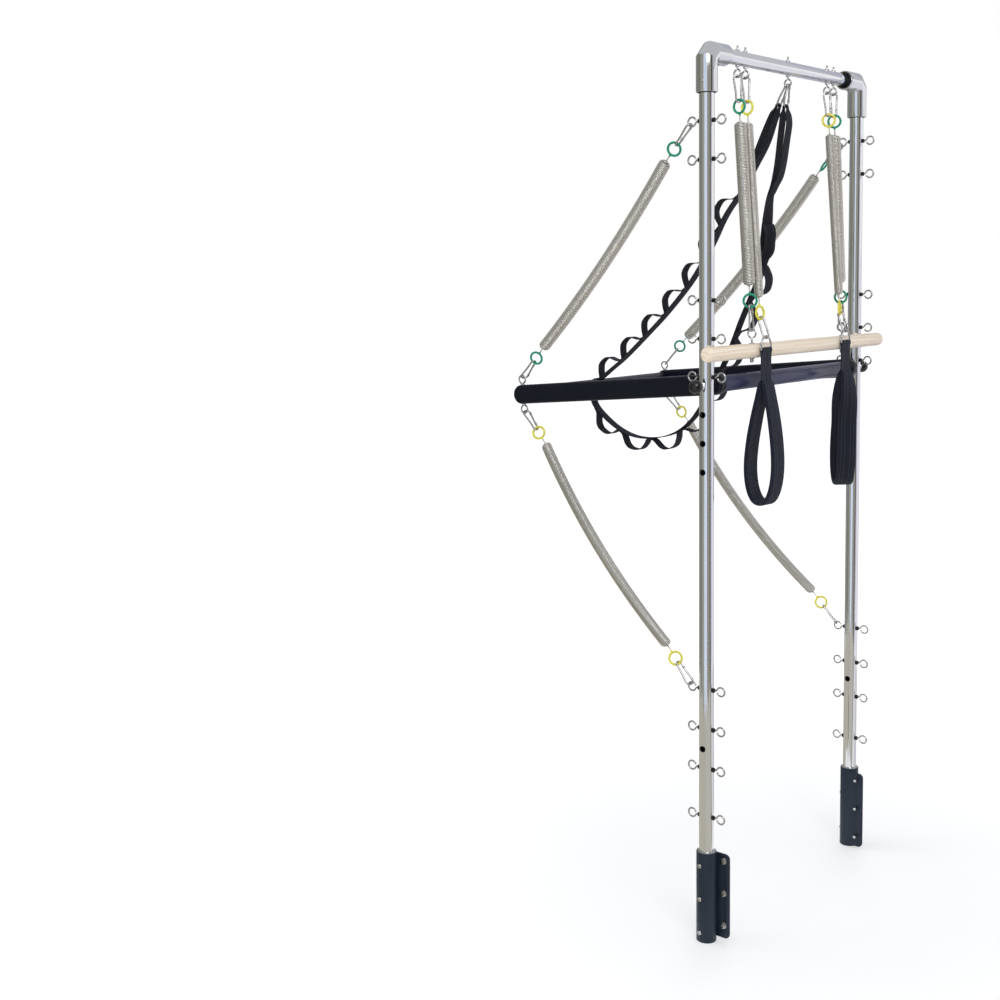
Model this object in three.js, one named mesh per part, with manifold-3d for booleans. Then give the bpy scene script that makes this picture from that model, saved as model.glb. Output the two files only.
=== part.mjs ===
// Pilates tower: a steel goal-post frame that bolts to the end of a reformer, with a sprung
// push-through bar, a roll-down bar, two strap handles and a looped ladder strap.
// Millimetres, +Z up. The origin lies midway between the uprights, level with the foot of their sockets.
// -X points along the reformer, +X to its end, and Y runs from the left upright to the right one.
import * as THREE from 'three';
import { mergeVertices } from 'three/addons/utils/BufferGeometryUtils.js';
import Module from 'manifold-3d';

const wasm = await Module();
wasm.setup();

// Fits
const FIT = 0.3;
const OVERRUN = 2;

// Standing frame
const UPRIGHT_SPACING = 664;
const UPRIGHT_OD = 32;
const TUBE_WALL = 2.5;
const CROSSBAR_OD = 30;
const CROSSBAR_Z = 1905;
const TUBE_SIDES = 16;

// Elbows and their liners
const ELBOW_OD = 45;
const ELBOW_DROP = 82;
const ELBOW_REACH = 67;
const ELBOW_STOP = 27;
const ELBOW_CUT = 15;
const MITRE_LAP = 0.05;
const LINER_WALL = 3;
const LINER_DEPTH = 14;

// Socket brackets
const SOCKET_OD = 44;
const SOCKET_HEIGHT = 202;
const SOCKET_FLOOR = 5;
const FLANGE_REACH = 47;
const FLANGE_THICKNESS = 5;
const FLANGE_CORNER = 11;
const FLANGE_MARGIN = 6;
const FLANGE_BOLT_X = 33;
const FLANGE_BOLT_TOP_Z = 181;
const FLANGE_BOLT_PITCH = 73;
const FLANGE_BOLT_COUNT = 3;
const FLANGE_HOLE_RADIUS = 4;

// Eyebolts
const EYE_RADIUS = 9.5;
const EYE_WIRE = 2;
const EYE_OFFSET = 36;
const CROSSBAR_EYE_RADIUS = 8;
const CROSSBAR_EYE_DROP = 32;
const THREAD_TIP = 11;
const WOOD_THREAD_TIP = 5;
const WIRE_SIDES = 5;
const EYE_STEPS = 8;
const EYE_START_DEGREES = 28;
const EYE_END_DEGREES = 335;
const EYE_BEND_SHARE = 1.4;
const HOLE_SIDES = 6;
const TURNED_SIDES = 10;
const UPPER_EYES_DROP = 139;
const UPPER_EYES_PITCH = 79;
const UPPER_EYES_COUNT = 2;
const MIDDLE_EYES_Z = 1396;
const MIDDLE_EYES_PITCH = 80.5;
const MIDDLE_EYES_COUNT = 3;
const LOWER_EYES_Z = 562;
const LOWER_EYES_PITCH = 88;
const LOWER_EYES_COUNT = 3;
const LOWEST_EYE_Z = 279;

// Pivot holes and pull pins
const PIVOT_Z = 1217;
const PIN_HOLE_PITCH = 61;
const PIN_HOLE_COUNT = 4;
const LOW_PIN_HOLE_Z = 433;
const PIN_RADIUS = 5;
const PIN_GRIP = 18;
const COLLAR_RADIUS = 8;
const COLLAR_LENGTH = 12;
const KNOB_RADIUS = 15;
const KNOB_FLAT_RADIUS = 7;
const KNOB_BORE_DEPTH = 14;
const STUB_RADIUS = 3.5;
const PIN_CHAMFER = 1.5;
const KNOB_STEPS = 6;

// Push-through bar
const BAR_LENGTH = 538;
const BAR_TILT_DEGREES = 4.8;
const ARM_INSET = 35;
const ARM_HEIGHT = 45;
const ARM_THICKNESS = 25;
const ARM_EDGE = 5;
const CROSS_TUBE_OD = 35;
const BOSS_RADIUS = 12;
const BAR_EYE_STANDOFF = 13;

// Spring clips and coloured end rings
const CLIP_WIRE = 2;
const CLIP_LENGTH = 56;
const CLIP_WIDE_HALF = 8.5;
const CLIP_NARROW_HALF = 5.5;
const CLIP_OUTLINE_SHARES = { tip: 0.45, shoulder: 0.72, foot: 0.7 };
const RING_RADIUS = 14;
const RING_WIRE = 2.5;
const RING_STEM = 18;

// Springs
const PUSH_UPPER_SPRING_RADIUS = 12;
const PUSH_LOWER_SPRING_RADIUS = 11;
const PUSH_SPRING_CURLS = 10;
const HEAVY_SPRING_RADIUS = 11.8;
const LIGHT_SPRING_RADIUS = 8.6;
const HANGING_SPRING_CURLS = 8;
const SPRING_WIRE = 1.5;
const STEPS_PER_CURL = 8;
const SPRING_SIDES = 5;
const LEAST_SPRING_GAP = 0.4;

// Roll-down bar
const WOOD_LENGTH = 776;
const WOOD_SHIFT = 4.5;
const WOOD_OD = 32;
const WOOD_Z = 1285;
const WOOD_ROUNDING = 7;
const WOOD_ROUNDING_STEPS = 3;
const WOOD_EYE_INSET = 128;
const WOOD_EYE_RISE = 37;
const HEAVY_EYE_INSET = 119;

// Strap handles
const LIGHT_EYE_INSET = 150.5;
const HANDLE_STANDOFF = 5.7;
const DEE_BAR_Z = 1287;
const DEE_HEIGHT = 29;
const DEE_HALF_WIDTH = 20;
const DEE_WIRE = 2.25;
const DEE_OUTLINE_SHARES = [[0, 1], [0.5, 0.95], [0.87, 0.55]];
const HANDLE_CLIP_LENGTH = 48;
const HANDLE_CLIP_LEAN_DEGREES = 20;
const HANDLE_CLIP_HALF_WIDTH = 6.8;
const NECK_LENGTH = 69;
const NECK_WIDTH = 36;
const WEBBING_THICKNESS = 2.6;
const NECK_GAP = 0.7;
const PAD_WIDTH = 43;
const PAD_THICKNESS = 9;
const LOOP_HEIGHT = 266;
const LOOP_HALF_WIDTH = 36;
const LOOP_SHIFT = -5;
const LEFT_LOOP_TWIST_DEGREES = -6;
const RIGHT_LOOP_TWIST_DEGREES = -48;
const LOOP_OUTLINE_SHARES = [
  [0.14, 0.03], [0.34, 0.14], [0.62, 0.3], [0.87, 0.48], [1, 0.66],
  [0.95, 0.8], [0.75, 0.91], [0.42, 0.98], [0, 1],
];

// Ladder strap
const STRAP_WIDTH = 27;
const STRAP_THICKNESS = 2.6;
const STRAP_BUNCH_WIDTH = 7;
const STRAP_BUNCH_THICKNESS = 4;
const STRAP_SPREAD = 14;
const STRAP_LEG_SPREAD = 12;
const STRAP_CLIP_LENGTH = 50;
const STRAP_CLIP_LEAN_DEGREES = [26, 9];
const STRAP_CLIP_SPREAD_DEGREES = 38;
const STRAP_CLIP_SIDE = -1;
const RISER_TWIST_DEGREES = 42;
const RISER_TWISTED_SHARE = 0.28;
const LADDER_PITCH = 86;
const LADDER_FIRST = 30;
const LADDER_LOWER_PITCH = 93;
const LADDER_LOWER_FIRST = 75;
const LADDER_LOOP_COUNT = 9;
const LADDER_LOOP_HEIGHT = 30;
const LADDER_LOOP_CHORD_SHARE = 0.95;
const LADDER_SEAT_SHARE = 0.55;
// A sewn-on loop's outline, as shares of its chord and of its height
const LADDER_LOOP_SHARES = [[0, 0], [0.15, 0.13], [0.33, 0.78], [0.53, 1], [0.75, 0.88], [0.92, 0.33], [1, 0]];

const rad = THREE.MathUtils.degToRad;
const point = (x, y, z) => new THREE.Vector3(x, y, z);
const AXIS_Y = point(0, 1, 0);
const AXIS_Z = point(0, 0, 1);
const LEFT = -1;
const RIGHT = 1;
const SIDES = [LEFT, RIGHT];
const handOf = (side) => (side < 0 ? 'left' : 'right');

// Places that several pieces share
const UPRIGHT_Y = UPRIGHT_SPACING / 2;
const UPRIGHT_RADIUS = UPRIGHT_OD / 2;
const CROSSBAR_RADIUS = CROSSBAR_OD / 2;
const MOUTH_BORE_RADIUS = Math.max(UPRIGHT_RADIUS, CROSSBAR_RADIUS) + LINER_WALL + 2 * FIT;
const ELBOW_MOUTH_Z = CROSSBAR_Z - ELBOW_DROP;
const ELBOW_MOUTH_Y = UPRIGHT_Y - ELBOW_REACH;
const MOUTH_STEP_Z = ELBOW_MOUTH_Z + LINER_DEPTH;
const MOUTH_STEP_Y = ELBOW_MOUTH_Y + LINER_DEPTH;
const UPRIGHT_TOP_Z = CROSSBAR_Z - ELBOW_STOP - FIT;
const CROSSBAR_END_Y = UPRIGHT_Y - ELBOW_STOP - FIT;
const CROSSBAR_EYE_Z = CROSSBAR_Z - CROSSBAR_EYE_DROP;
const UPPER_EYES_Z = CROSSBAR_Z - UPPER_EYES_DROP;
const HEAVY_EYE_Y = UPRIGHT_Y - HEAVY_EYE_INSET;
const LIGHT_EYE_Y = UPRIGHT_Y - LIGHT_EYE_INSET;
const WOOD_EYE_Y = UPRIGHT_Y - WOOD_EYE_INSET;
const ARM_Y = UPRIGHT_Y - ARM_INSET;
const ARM_OUTER_Y = ARM_Y + ARM_THICKNESS / 2;
const ARM_INNER_Y = ARM_Y - ARM_THICKNESS / 2;
const BAR_EYE_HEIGHT = ARM_HEIGHT / 2 + BAR_EYE_STANDOFF;
const WOOD_RADIUS = WOOD_OD / 2;
const WOOD_X = UPRIGHT_RADIUS + FIT + WOOD_RADIUS;
const DEE_X = WOOD_X + WOOD_RADIUS + HANDLE_STANDOFF;
const PIVOT = point(0, 0, PIVOT_Z);

// Turns a spot on the level push-through bar to its place on the hanging one
function onPushBar(x, y, z) {
  return point(x, y, z).applyAxisAngle(AXIS_Y, -rad(BAR_TILT_DEGREES)).add(PIVOT);
}

function rowOf(first, pitch, count) {
  return Array.from({ length: count }, (_, i) => first - i * pitch);
}

const EYE_HEIGHTS = [
  ...rowOf(UPPER_EYES_Z, UPPER_EYES_PITCH, UPPER_EYES_COUNT),
  ...rowOf(MIDDLE_EYES_Z, MIDDLE_EYES_PITCH, MIDDLE_EYES_COUNT),
  ...rowOf(LOWER_EYES_Z, LOWER_EYES_PITCH, LOWER_EYES_COUNT),
  LOWEST_EYE_Z,
];
const PIN_HOLE_HEIGHTS = [...rowOf(PIVOT_Z, PIN_HOLE_PITCH, PIN_HOLE_COUNT), LOW_PIN_HOLE_Z];
const CROSSBAR_EYES_Y = [-HEAVY_EYE_Y, -LIGHT_EYE_Y, 0, LIGHT_EYE_Y, HEAVY_EYE_Y];

// Materials
const finish = (color, roughness, metalness) =>
  new THREE.MeshStandardMaterial({ color, roughness, metalness, flatShading: true });
const chrome = finish(0xd4d6da, 0.12, 1);
const castAlloy = finish(0xc6c8cc, 0.28, 1);
const zinc = finish(0xb9bbbd, 0.3, 1);
const springSteel = finish(0xa7a398, 0.35, 1);
const glossBlack = finish(0x0e1016, 0.15, 0);
const slateCoat = finish(0x2c3644, 0.42, 0.2);
const navyCoat = finish(0x161b28, 0.38, 0.1);
const greenCoat = finish(0x12915b, 0.35, 0);
const yellowCoat = finish(0xe3d33a, 0.35, 0);
const beech = finish(0xf0d7b9, 0.55, 0);
const webbing = finish(0x191b22, 0.75, 0);
const padding = finish(0x20242f, 0.8, 0);

// Shapes
function merged(geometry) {
  const bare = geometry.clone();
  bare.deleteAttribute('normal');
  bare.deleteAttribute('uv');
  return mergeVertices(bare);
}

function toSolid(geometry) {
  const bare = merged(geometry);
  return new wasm.Manifold(new wasm.Mesh({
    numProp: 3,
    vertProperties: bare.attributes.position.array,
    triVerts: new Uint32Array(bare.index.array),
  }));
}

function toGeometry(solid) {
  const mesh = solid.getMesh();
  const geometry = new THREE.BufferGeometry();
  geometry.setAttribute('position', new THREE.BufferAttribute(mesh.vertProperties, 3));
  geometry.setIndex(new THREE.BufferAttribute(mesh.triVerts, 1));
  return geometry;
}

function drilled(geometry, holes) {
  const solid = holes.reduce((body, hole) => body.subtract(toSolid(hole)), toSolid(geometry));
  return toGeometry(solid);
}

function rod(from, to, radius, sides) {
  const along = to.clone().sub(from);
  const geometry = new THREE.CylinderGeometry(radius, radius, along.length(), sides);
  geometry.applyQuaternion(new THREE.Quaternion().setFromUnitVectors(AXIS_Y, along.clone().normalize()));
  const middle = from.clone().add(to).multiplyScalar(1 / 2);
  return geometry.translate(middle.x, middle.y, middle.z);
}

// A straight cutter whose flats stay clear of a round piece of the given radius
function bore(from, to, radius, sides) {
  return rod(from, to, (radius + FIT) / Math.cos(Math.PI / sides), sides);
}

// A profile of [radius, distance] pairs turned about a line that starts at a spot
function turned(profile, from, along, sides) {
  const outline = profile.map(([radius, distance]) => new THREE.Vector2(radius, distance));
  const geometry = new THREE.LatheGeometry(outline, sides);
  geometry.applyQuaternion(new THREE.Quaternion().setFromUnitVectors(AXIS_Y, along));
  return facingOut(merged(geometry.translate(from.x, from.y, from.z)));
}

function pipe(from, to, radius, wall, sides) {
  const along = to.clone().sub(from);
  const length = along.length();
  const inner = radius - wall;
  const profile = [[inner, 0], [radius, 0], [radius, length], [inner, length], [inner, 0]];
  const outline = profile.map(([r, distance]) => new THREE.Vector2(r, distance));
  const geometry = new THREE.LatheGeometry(outline, sides);
  geometry.applyQuaternion(new THREE.Quaternion().setFromUnitVectors(AXIS_Y, along.normalize()));
  return facingOut(merged(geometry.translate(from.x, from.y, from.z)));
}

function facingOut(geometry) {
  const spots = geometry.attributes.position;
  const corners = [point(0, 0, 0), point(0, 0, 0), point(0, 0, 0)];
  let volume = 0;
  for (let i = 0; i < geometry.index.count; i += 3) {
    corners.forEach((corner, k) => corner.fromBufferAttribute(spots, geometry.index.getX(i + k)));
    volume += corners[0].dot(corners[1].clone().cross(corners[2]));
  }
  if (volume < 0) {
    for (let i = 0; i < geometry.index.count; i += 3) {
      const kept = geometry.index.getX(i);
      geometry.index.setX(i, geometry.index.getX(i + 1));
      geometry.index.setX(i + 1, kept);
    }
  }
  return geometry;
}

// Joins rings of points, each of the same count, into one closed skin
function loft(rings, closed) {
  const count = rings[0].length;
  const spots = rings.flat().flatMap((spot) => [spot.x, spot.y, spot.z]);
  const faces = [];
  const last = closed ? rings.length : rings.length - 1;
  for (let i = 0; i < last; i += 1) {
    const here = i * count;
    const next = ((i + 1) % rings.length) * count;
    for (let k = 0; k < count; k += 1) {
      const turn = (k + 1) % count;
      faces.push(here + k, here + turn, next + turn, here + k, next + turn, next + k);
    }
  }
  if (!closed) {
    const end = (rings.length - 1) * count;
    for (let k = 1; k < count - 1; k += 1) {
      faces.push(0, k + 1, k, end, end + k, end + k + 1);
    }
  }
  const geometry = new THREE.BufferGeometry();
  geometry.setAttribute('position', new THREE.Float32BufferAttribute(spots, 3));
  geometry.setIndex(faces);
  return facingOut(geometry);
}

function tangents(points, closed) {
  return points.map((_, i) => {
    const before = closed ? points.at(i - 1) : points[Math.max(i - 1, 0)];
    const after = closed ? points[(i + 1) % points.length] : points[Math.min(i + 1, points.length - 1)];
    return after.clone().sub(before).normalize();
  });
}

// A round wire along a line of points that lie in one plane
function flatWire(points, radius, sides, planeNormal, closed) {
  const ways = tangents(points, closed);
  const rings = points.map((spot, i) => {
    const outward = ways[i].clone().cross(planeNormal).normalize();
    return ringAt(spot, planeNormal, outward, radius, sides);
  });
  return loft(rings, closed);
}

// A round wire along any open line of points, carried along it without twist
function freeWire(points, radii, sides) {
  const ways = tangents(points, false);
  let across = point(0, 0, 0).crossVectors(ways[0], AXIS_Y);
  if (across.length() < 1 / 2) {
    across = point(0, 0, 0).crossVectors(ways[0], AXIS_Z);
  }
  const rings = points.map((spot, i) => {
    across = across.clone().addScaledVector(ways[i], -across.dot(ways[i])).normalize();
    const up = ways[i].clone().cross(across);
    return ringAt(spot, across, up, radii[i], sides);
  });
  return loft(rings, false);
}

function ringAt(spot, across, up, radius, sides) {
  return Array.from({ length: sides }, (_, k) => {
    const angle = (2 * Math.PI * k) / sides;
    return spot.clone()
      .addScaledVector(across, radius * Math.cos(angle))
      .addScaledVector(up, radius * Math.sin(angle));
  });
}

// The line of a wire bent into an eye, from its straight shank round to its open end
function eyePath(centre, shankWay, planeNormal, radius, wire) {
  const side = planeNormal.clone().cross(shankWay).normalize();
  const at = (along, across) => centre.clone().addScaledVector(shankWay, along).addScaledVector(side, across);
  const points = [at(radius + wire * EYE_BEND_SHARE, 0)];
  for (let i = 0; i <= EYE_STEPS; i += 1) {
    const angle = rad(EYE_START_DEGREES + ((EYE_END_DEGREES - EYE_START_DEGREES) * i) / EYE_STEPS);
    points.push(at(radius * Math.cos(angle), radius * Math.sin(angle)));
  }
  return points;
}

// A bolt with one eye, whose shank runs from the eye's centre along a direction
function eyebolt(centre, shankWay, radius, shankLength) {
  const tip = centre.clone().addScaledVector(shankWay, shankLength);
  const line = [tip, ...eyePath(centre, shankWay, AXIS_Y, radius, EYE_WIRE)];
  return flatWire(line, EYE_WIRE, WIRE_SIDES, AXIS_Y, false);
}

// A through-bolt with an eye at each end
function doubleEyebolt(from, to, radius) {
  const way = to.clone().sub(from).normalize();
  const near = eyePath(from, way, AXIS_Y, radius, EYE_WIRE);
  const far = eyePath(to, way.clone().negate(), AXIS_Y, radius, EYE_WIRE);
  return flatWire([...near.toReversed(), ...far], EYE_WIRE, WIRE_SIDES, AXIS_Y, false);
}

// A spring clip, a closed pear-shaped link with its narrow nose at a spot
function clipLoop(nose, along, across, length, halfWidth, noseHalfWidth) {
  const at = (distance, aside) => nose.clone().addScaledVector(along, distance).addScaledVector(across, aside);
  const shares = CLIP_OUTLINE_SHARES;
  const half = [
    [0, noseHalfWidth * shares.tip],
    [noseHalfWidth * shares.shoulder, noseHalfWidth],
    [length - halfWidth, halfWidth],
    [length, halfWidth * shares.foot],
  ];
  const points = [
    ...half.map(([distance, aside]) => at(distance, aside)),
    ...half.toReversed().map(([distance, aside]) => at(distance, -aside)),
  ];
  return flatWire(points, CLIP_WIRE, WIRE_SIDES, along.clone().cross(across), true);
}

// Standing frame
function upright(side) {
  const foot = point(0, side * UPRIGHT_Y, SOCKET_FLOOR + FIT);
  const top = point(0, side * UPRIGHT_Y, UPRIGHT_TOP_Z);
  const reach = UPRIGHT_RADIUS + OVERRUN;
  const eyeHoles = EYE_HEIGHTS.map((z) =>
    bore(point(-reach, foot.y, z), point(reach, foot.y, z), EYE_WIRE, HOLE_SIDES));
  const pinHoles = PIN_HOLE_HEIGHTS.map((z) =>
    bore(point(0, foot.y - reach, z), point(0, foot.y + reach, z), PIN_RADIUS, TURNED_SIDES));
  const tube = pipe(foot, top, UPRIGHT_RADIUS, TUBE_WALL, TUBE_SIDES);
  return drilled(tube, [...eyeHoles, ...pinHoles]);
}

function crossbar() {
  const reach = CROSSBAR_RADIUS + OVERRUN;
  const tube = pipe(
    point(0, -CROSSBAR_END_Y, CROSSBAR_Z), point(0, CROSSBAR_END_Y, CROSSBAR_Z),
    CROSSBAR_RADIUS, TUBE_WALL, TUBE_SIDES);
  const holes = CROSSBAR_EYES_Y.map((y) =>
    bore(point(0, y, CROSSBAR_Z - reach), point(0, y, CROSSBAR_Z + reach), EYE_WIRE, HOLE_SIDES));
  return drilled(tube, holes);
}

// A cast corner of three lengths, the short middle one at 45 degrees and mitred to its neighbours
function elbow(side) {
  const y = side * UPRIGHT_Y;
  const radius = ELBOW_OD / 2;
  const low = point(0, y, CROSSBAR_Z - ELBOW_CUT);
  const high = point(0, y - side * ELBOW_CUT, CROSSBAR_Z);
  const slope = high.clone().sub(low).normalize();
  const lowMitre = AXIS_Z.clone().add(slope).normalize();
  const highMitre = point(0, -side, 0).add(slope).normalize();
  const before = (solid, normal, spot) => solid.trimByPlane(
    [-normal.x, -normal.y, -normal.z], -normal.dot(spot) - MITRE_LAP);
  const after = (solid, normal, spot) => solid.trimByPlane(
    [normal.x, normal.y, normal.z], normal.dot(spot) - MITRE_LAP);
  const beyond = slope.clone().multiplyScalar(ELBOW_OD);
  const standing = toSolid(rod(point(0, y, ELBOW_MOUTH_Z), point(0, y, low.z + ELBOW_OD), radius, TUBE_SIDES));
  const middle = toSolid(rod(low.clone().sub(beyond), high.clone().add(beyond), radius, TUBE_SIDES));
  const lying = toSolid(rod(
    point(0, side * ELBOW_MOUTH_Y, CROSSBAR_Z), point(0, y + side * ELBOW_OD, CROSSBAR_Z), radius, TUBE_SIDES));
  const body = before(standing, lowMitre, low)
    .add(before(after(middle, lowMitre, low), highMitre, high))
    .add(after(lying, highMitre, high));
  const bores = [
    bore(
      point(0, y, ELBOW_MOUTH_Z - OVERRUN), point(0, y, CROSSBAR_Z - ELBOW_STOP),
      UPRIGHT_RADIUS, TUBE_SIDES),
    bore(
      point(0, side * (ELBOW_MOUTH_Y - OVERRUN), CROSSBAR_Z),
      point(0, side * (UPRIGHT_Y - ELBOW_STOP), CROSSBAR_Z),
      CROSSBAR_RADIUS, TUBE_SIDES),
    rod(point(0, y, ELBOW_MOUTH_Z - OVERRUN), point(0, y, MOUTH_STEP_Z), MOUTH_BORE_RADIUS, TUBE_SIDES),
    rod(
      point(0, side * (ELBOW_MOUTH_Y - OVERRUN), CROSSBAR_Z), point(0, side * MOUTH_STEP_Y, CROSSBAR_Z),
      MOUTH_BORE_RADIUS, TUBE_SIDES),
  ];
  return toGeometry(bores.reduce((rest, cut) => rest.subtract(toSolid(cut)), body));
}

// Socket bracket: a blind sleeve for the upright and a flange that bolts to the side of the bed
function flange(side) {
  const outline = new THREE.Shape();
  const low = FLANGE_MARGIN;
  const high = SOCKET_HEIGHT - FLANGE_MARGIN;
  outline.moveTo(0, low);
  outline.lineTo(FLANGE_REACH - FLANGE_CORNER, low);
  outline.absarc(FLANGE_REACH - FLANGE_CORNER, low + FLANGE_CORNER, FLANGE_CORNER, -Math.PI / 2, 0);
  outline.absarc(FLANGE_REACH - FLANGE_CORNER, high - FLANGE_CORNER, FLANGE_CORNER, 0, Math.PI / 2);
  outline.lineTo(0, high);
  const plate = new THREE.ExtrudeGeometry(outline, {
    depth: FLANGE_THICKNESS, bevelEnabled: false, curveSegments: 4,
  });
  plate.rotateX(Math.PI / 2);
  const inner = side * (UPRIGHT_Y - SOCKET_OD / 2);
  return plate.translate(0, side > 0 ? inner + FLANGE_THICKNESS : inner, 0);
}

function flangeBoltHeights() {
  return rowOf(FLANGE_BOLT_TOP_Z, FLANGE_BOLT_PITCH, FLANGE_BOLT_COUNT);
}

function socketBracket(side) {
  const y = side * UPRIGHT_Y;
  const sleeve = rod(point(0, y, 0), point(0, y, SOCKET_HEIGHT), SOCKET_OD / 2, TUBE_SIDES);
  const body = toSolid(sleeve).add(toSolid(flange(side)));
  const inner = side * (UPRIGHT_Y - SOCKET_OD / 2);
  const cuts = [
    bore(point(0, y, SOCKET_FLOOR), point(0, y, SOCKET_HEIGHT + OVERRUN), UPRIGHT_RADIUS, TUBE_SIDES),
    ...flangeBoltHeights().map((z) => rod(
      point(FLANGE_BOLT_X, inner - side * OVERRUN, z),
      point(FLANGE_BOLT_X, inner + side * (FLANGE_THICKNESS + OVERRUN), z),
      FLANGE_HOLE_RADIUS, TURNED_SIDES)),
  ];
  return toGeometry(cuts.reduce((rest, cut) => rest.subtract(toSolid(cut)), body));
}

// Eyebolts on the uprights and the crossbar
function uprightEyebolt(side, z) {
  const y = side * UPRIGHT_Y;
  return doubleEyebolt(point(-EYE_OFFSET, y, z), point(EYE_OFFSET, y, z), EYE_RADIUS);
}

function crossbarEyebolt(y) {
  const shank = CROSSBAR_EYE_DROP + CROSSBAR_RADIUS + THREAD_TIP;
  return eyebolt(point(0, y, CROSSBAR_EYE_Z), AXIS_Z, CROSSBAR_EYE_RADIUS, shank);
}

// Push-through bar, in its own level frame with the pivot at the origin
function pushArm(side) {
  const half = ARM_HEIGHT / 2 - ARM_EDGE;
  const outline = new THREE.Shape();
  outline.moveTo(0, -half);
  outline.absarc(0, 0, half, -Math.PI / 2, Math.PI / 2);
  outline.lineTo(-BAR_LENGTH, half);
  outline.absarc(-BAR_LENGTH, 0, half, Math.PI / 2, (3 * Math.PI) / 2);
  const arm = new THREE.ExtrudeGeometry(outline, {
    depth: ARM_THICKNESS - 2 * ARM_EDGE,
    bevelThickness: ARM_EDGE, bevelSize: ARM_EDGE, bevelSegments: 2, curveSegments: 8,
  });
  arm.rotateX(Math.PI / 2);
  arm.translate(0, side * ARM_Y + ARM_THICKNESS / 2 - ARM_EDGE, 0);
  const y = side * ARM_Y;
  const bossEnd = side * (UPRIGHT_Y - UPRIGHT_RADIUS - 2 * FIT);
  const boss = rod(point(0, y, 0), point(0, bossEnd, 0), BOSS_RADIUS, TURNED_SIDES);
  const high = ARM_HEIGHT / 2 + OVERRUN;
  const cuts = [
    bore(
      point(0, side * (ARM_INNER_Y - OVERRUN), 0), point(0, bossEnd + side * OVERRUN, 0),
      PIN_RADIUS, TURNED_SIDES),
    bore(point(-BAR_LENGTH, y, -high), point(-BAR_LENGTH, y, high), EYE_WIRE, HOLE_SIDES),
  ];
  return toGeometry(cuts.reduce((rest, cut) => rest.subtract(toSolid(cut)), toSolid(arm).add(toSolid(boss))));
}

function armEyebolt(side) {
  const at = (up) => point(-BAR_LENGTH, side * ARM_Y, up * BAR_EYE_HEIGHT);
  return doubleEyebolt(at(-1), at(1), EYE_RADIUS);
}

function crossTube(x) {
  const end = ARM_INNER_Y - FIT;
  return pipe(point(x, -end, 0), point(x, end, 0), CROSS_TUBE_OD / 2, TUBE_WALL, TUBE_SIDES);
}

// Pull pins: a plain pin with a collar against the upright and a ball knob on its stub
function pullPin(side) {
  const tip = ARM_OUTER_Y - PIN_GRIP;
  const collar = UPRIGHT_Y + UPRIGHT_RADIUS + FIT - tip;
  const stub = collar + COLLAR_LENGTH + KNOB_BORE_DEPTH - FIT;
  const profile = [
    [0, 0], [PIN_RADIUS - PIN_CHAMFER, 0], [PIN_RADIUS, PIN_CHAMFER], [PIN_RADIUS, collar],
    [COLLAR_RADIUS, collar], [COLLAR_RADIUS, collar + COLLAR_LENGTH], [STUB_RADIUS, collar + COLLAR_LENGTH],
    [STUB_RADIUS, stub], [0, stub],
  ];
  return turned(profile, point(0, side * tip, PIVOT_Z), point(0, side, 0), TURNED_SIDES);
}

function pinKnob(side) {
  const hole = STUB_RADIUS + FIT;
  const rise = Math.sqrt(KNOB_RADIUS ** 2 - KNOB_FLAT_RADIUS ** 2);
  const start = Math.atan2(KNOB_FLAT_RADIUS, -rise);
  const profile = [[0, KNOB_BORE_DEPTH], [hole, KNOB_BORE_DEPTH], [hole, 0]];
  for (let i = 0; i < KNOB_STEPS; i += 1) {
    const angle = start * (1 - i / KNOB_STEPS);
    profile.push([KNOB_RADIUS * Math.sin(angle), rise + KNOB_RADIUS * Math.cos(angle)]);
  }
  profile.push([0, rise + KNOB_RADIUS]);
  const seat = UPRIGHT_Y + UPRIGHT_RADIUS + 2 * FIT + COLLAR_LENGTH;
  return turned(profile, point(0, side * seat, PIVOT_Z), point(0, side, 0), TURNED_SIDES);
}

// Springs and the clips and rings that hook them on
function linkFrame(from, to) {
  const along = to.clone().sub(from).normalize();
  const across = AXIS_Y.clone().addScaledVector(along, -AXIS_Y.dot(along)).normalize();
  return { along, across, normal: along.clone().cross(across) };
}

// The clip that hangs from one eye and points to another spot, and the spring's end ring in it
function hookSet(eye, toward, eyeRadius) {
  const { along, across } = linkFrame(eye, toward);
  const nose = eyeRadius - EYE_WIRE - CLIP_WIRE - FIT;
  const ringCentre = nose + CLIP_LENGTH - CLIP_WIRE - RING_WIRE - FIT + RING_RADIUS;
  const at = (distance) => eye.clone().addScaledVector(along, distance);
  return {
    clip: clipLoop(at(nose), along, across, CLIP_LENGTH, CLIP_NARROW_HALF, CLIP_WIDE_HALF),
    ring: eyePath(at(ringCentre), along, across, RING_RADIUS, RING_WIRE),
    springEnd: at(ringCentre + RING_RADIUS + RING_STEM),
  };
}

let leastGap = Infinity;

function noteGap(points) {
  points.forEach((spot, i) => {
    for (let k = i + STEPS_PER_CURL / 2; k < points.length; k += 1) {
      leastGap = Math.min(leastGap, spot.distanceTo(points[k]) - 2 * SPRING_WIRE);
    }
  });
}

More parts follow.
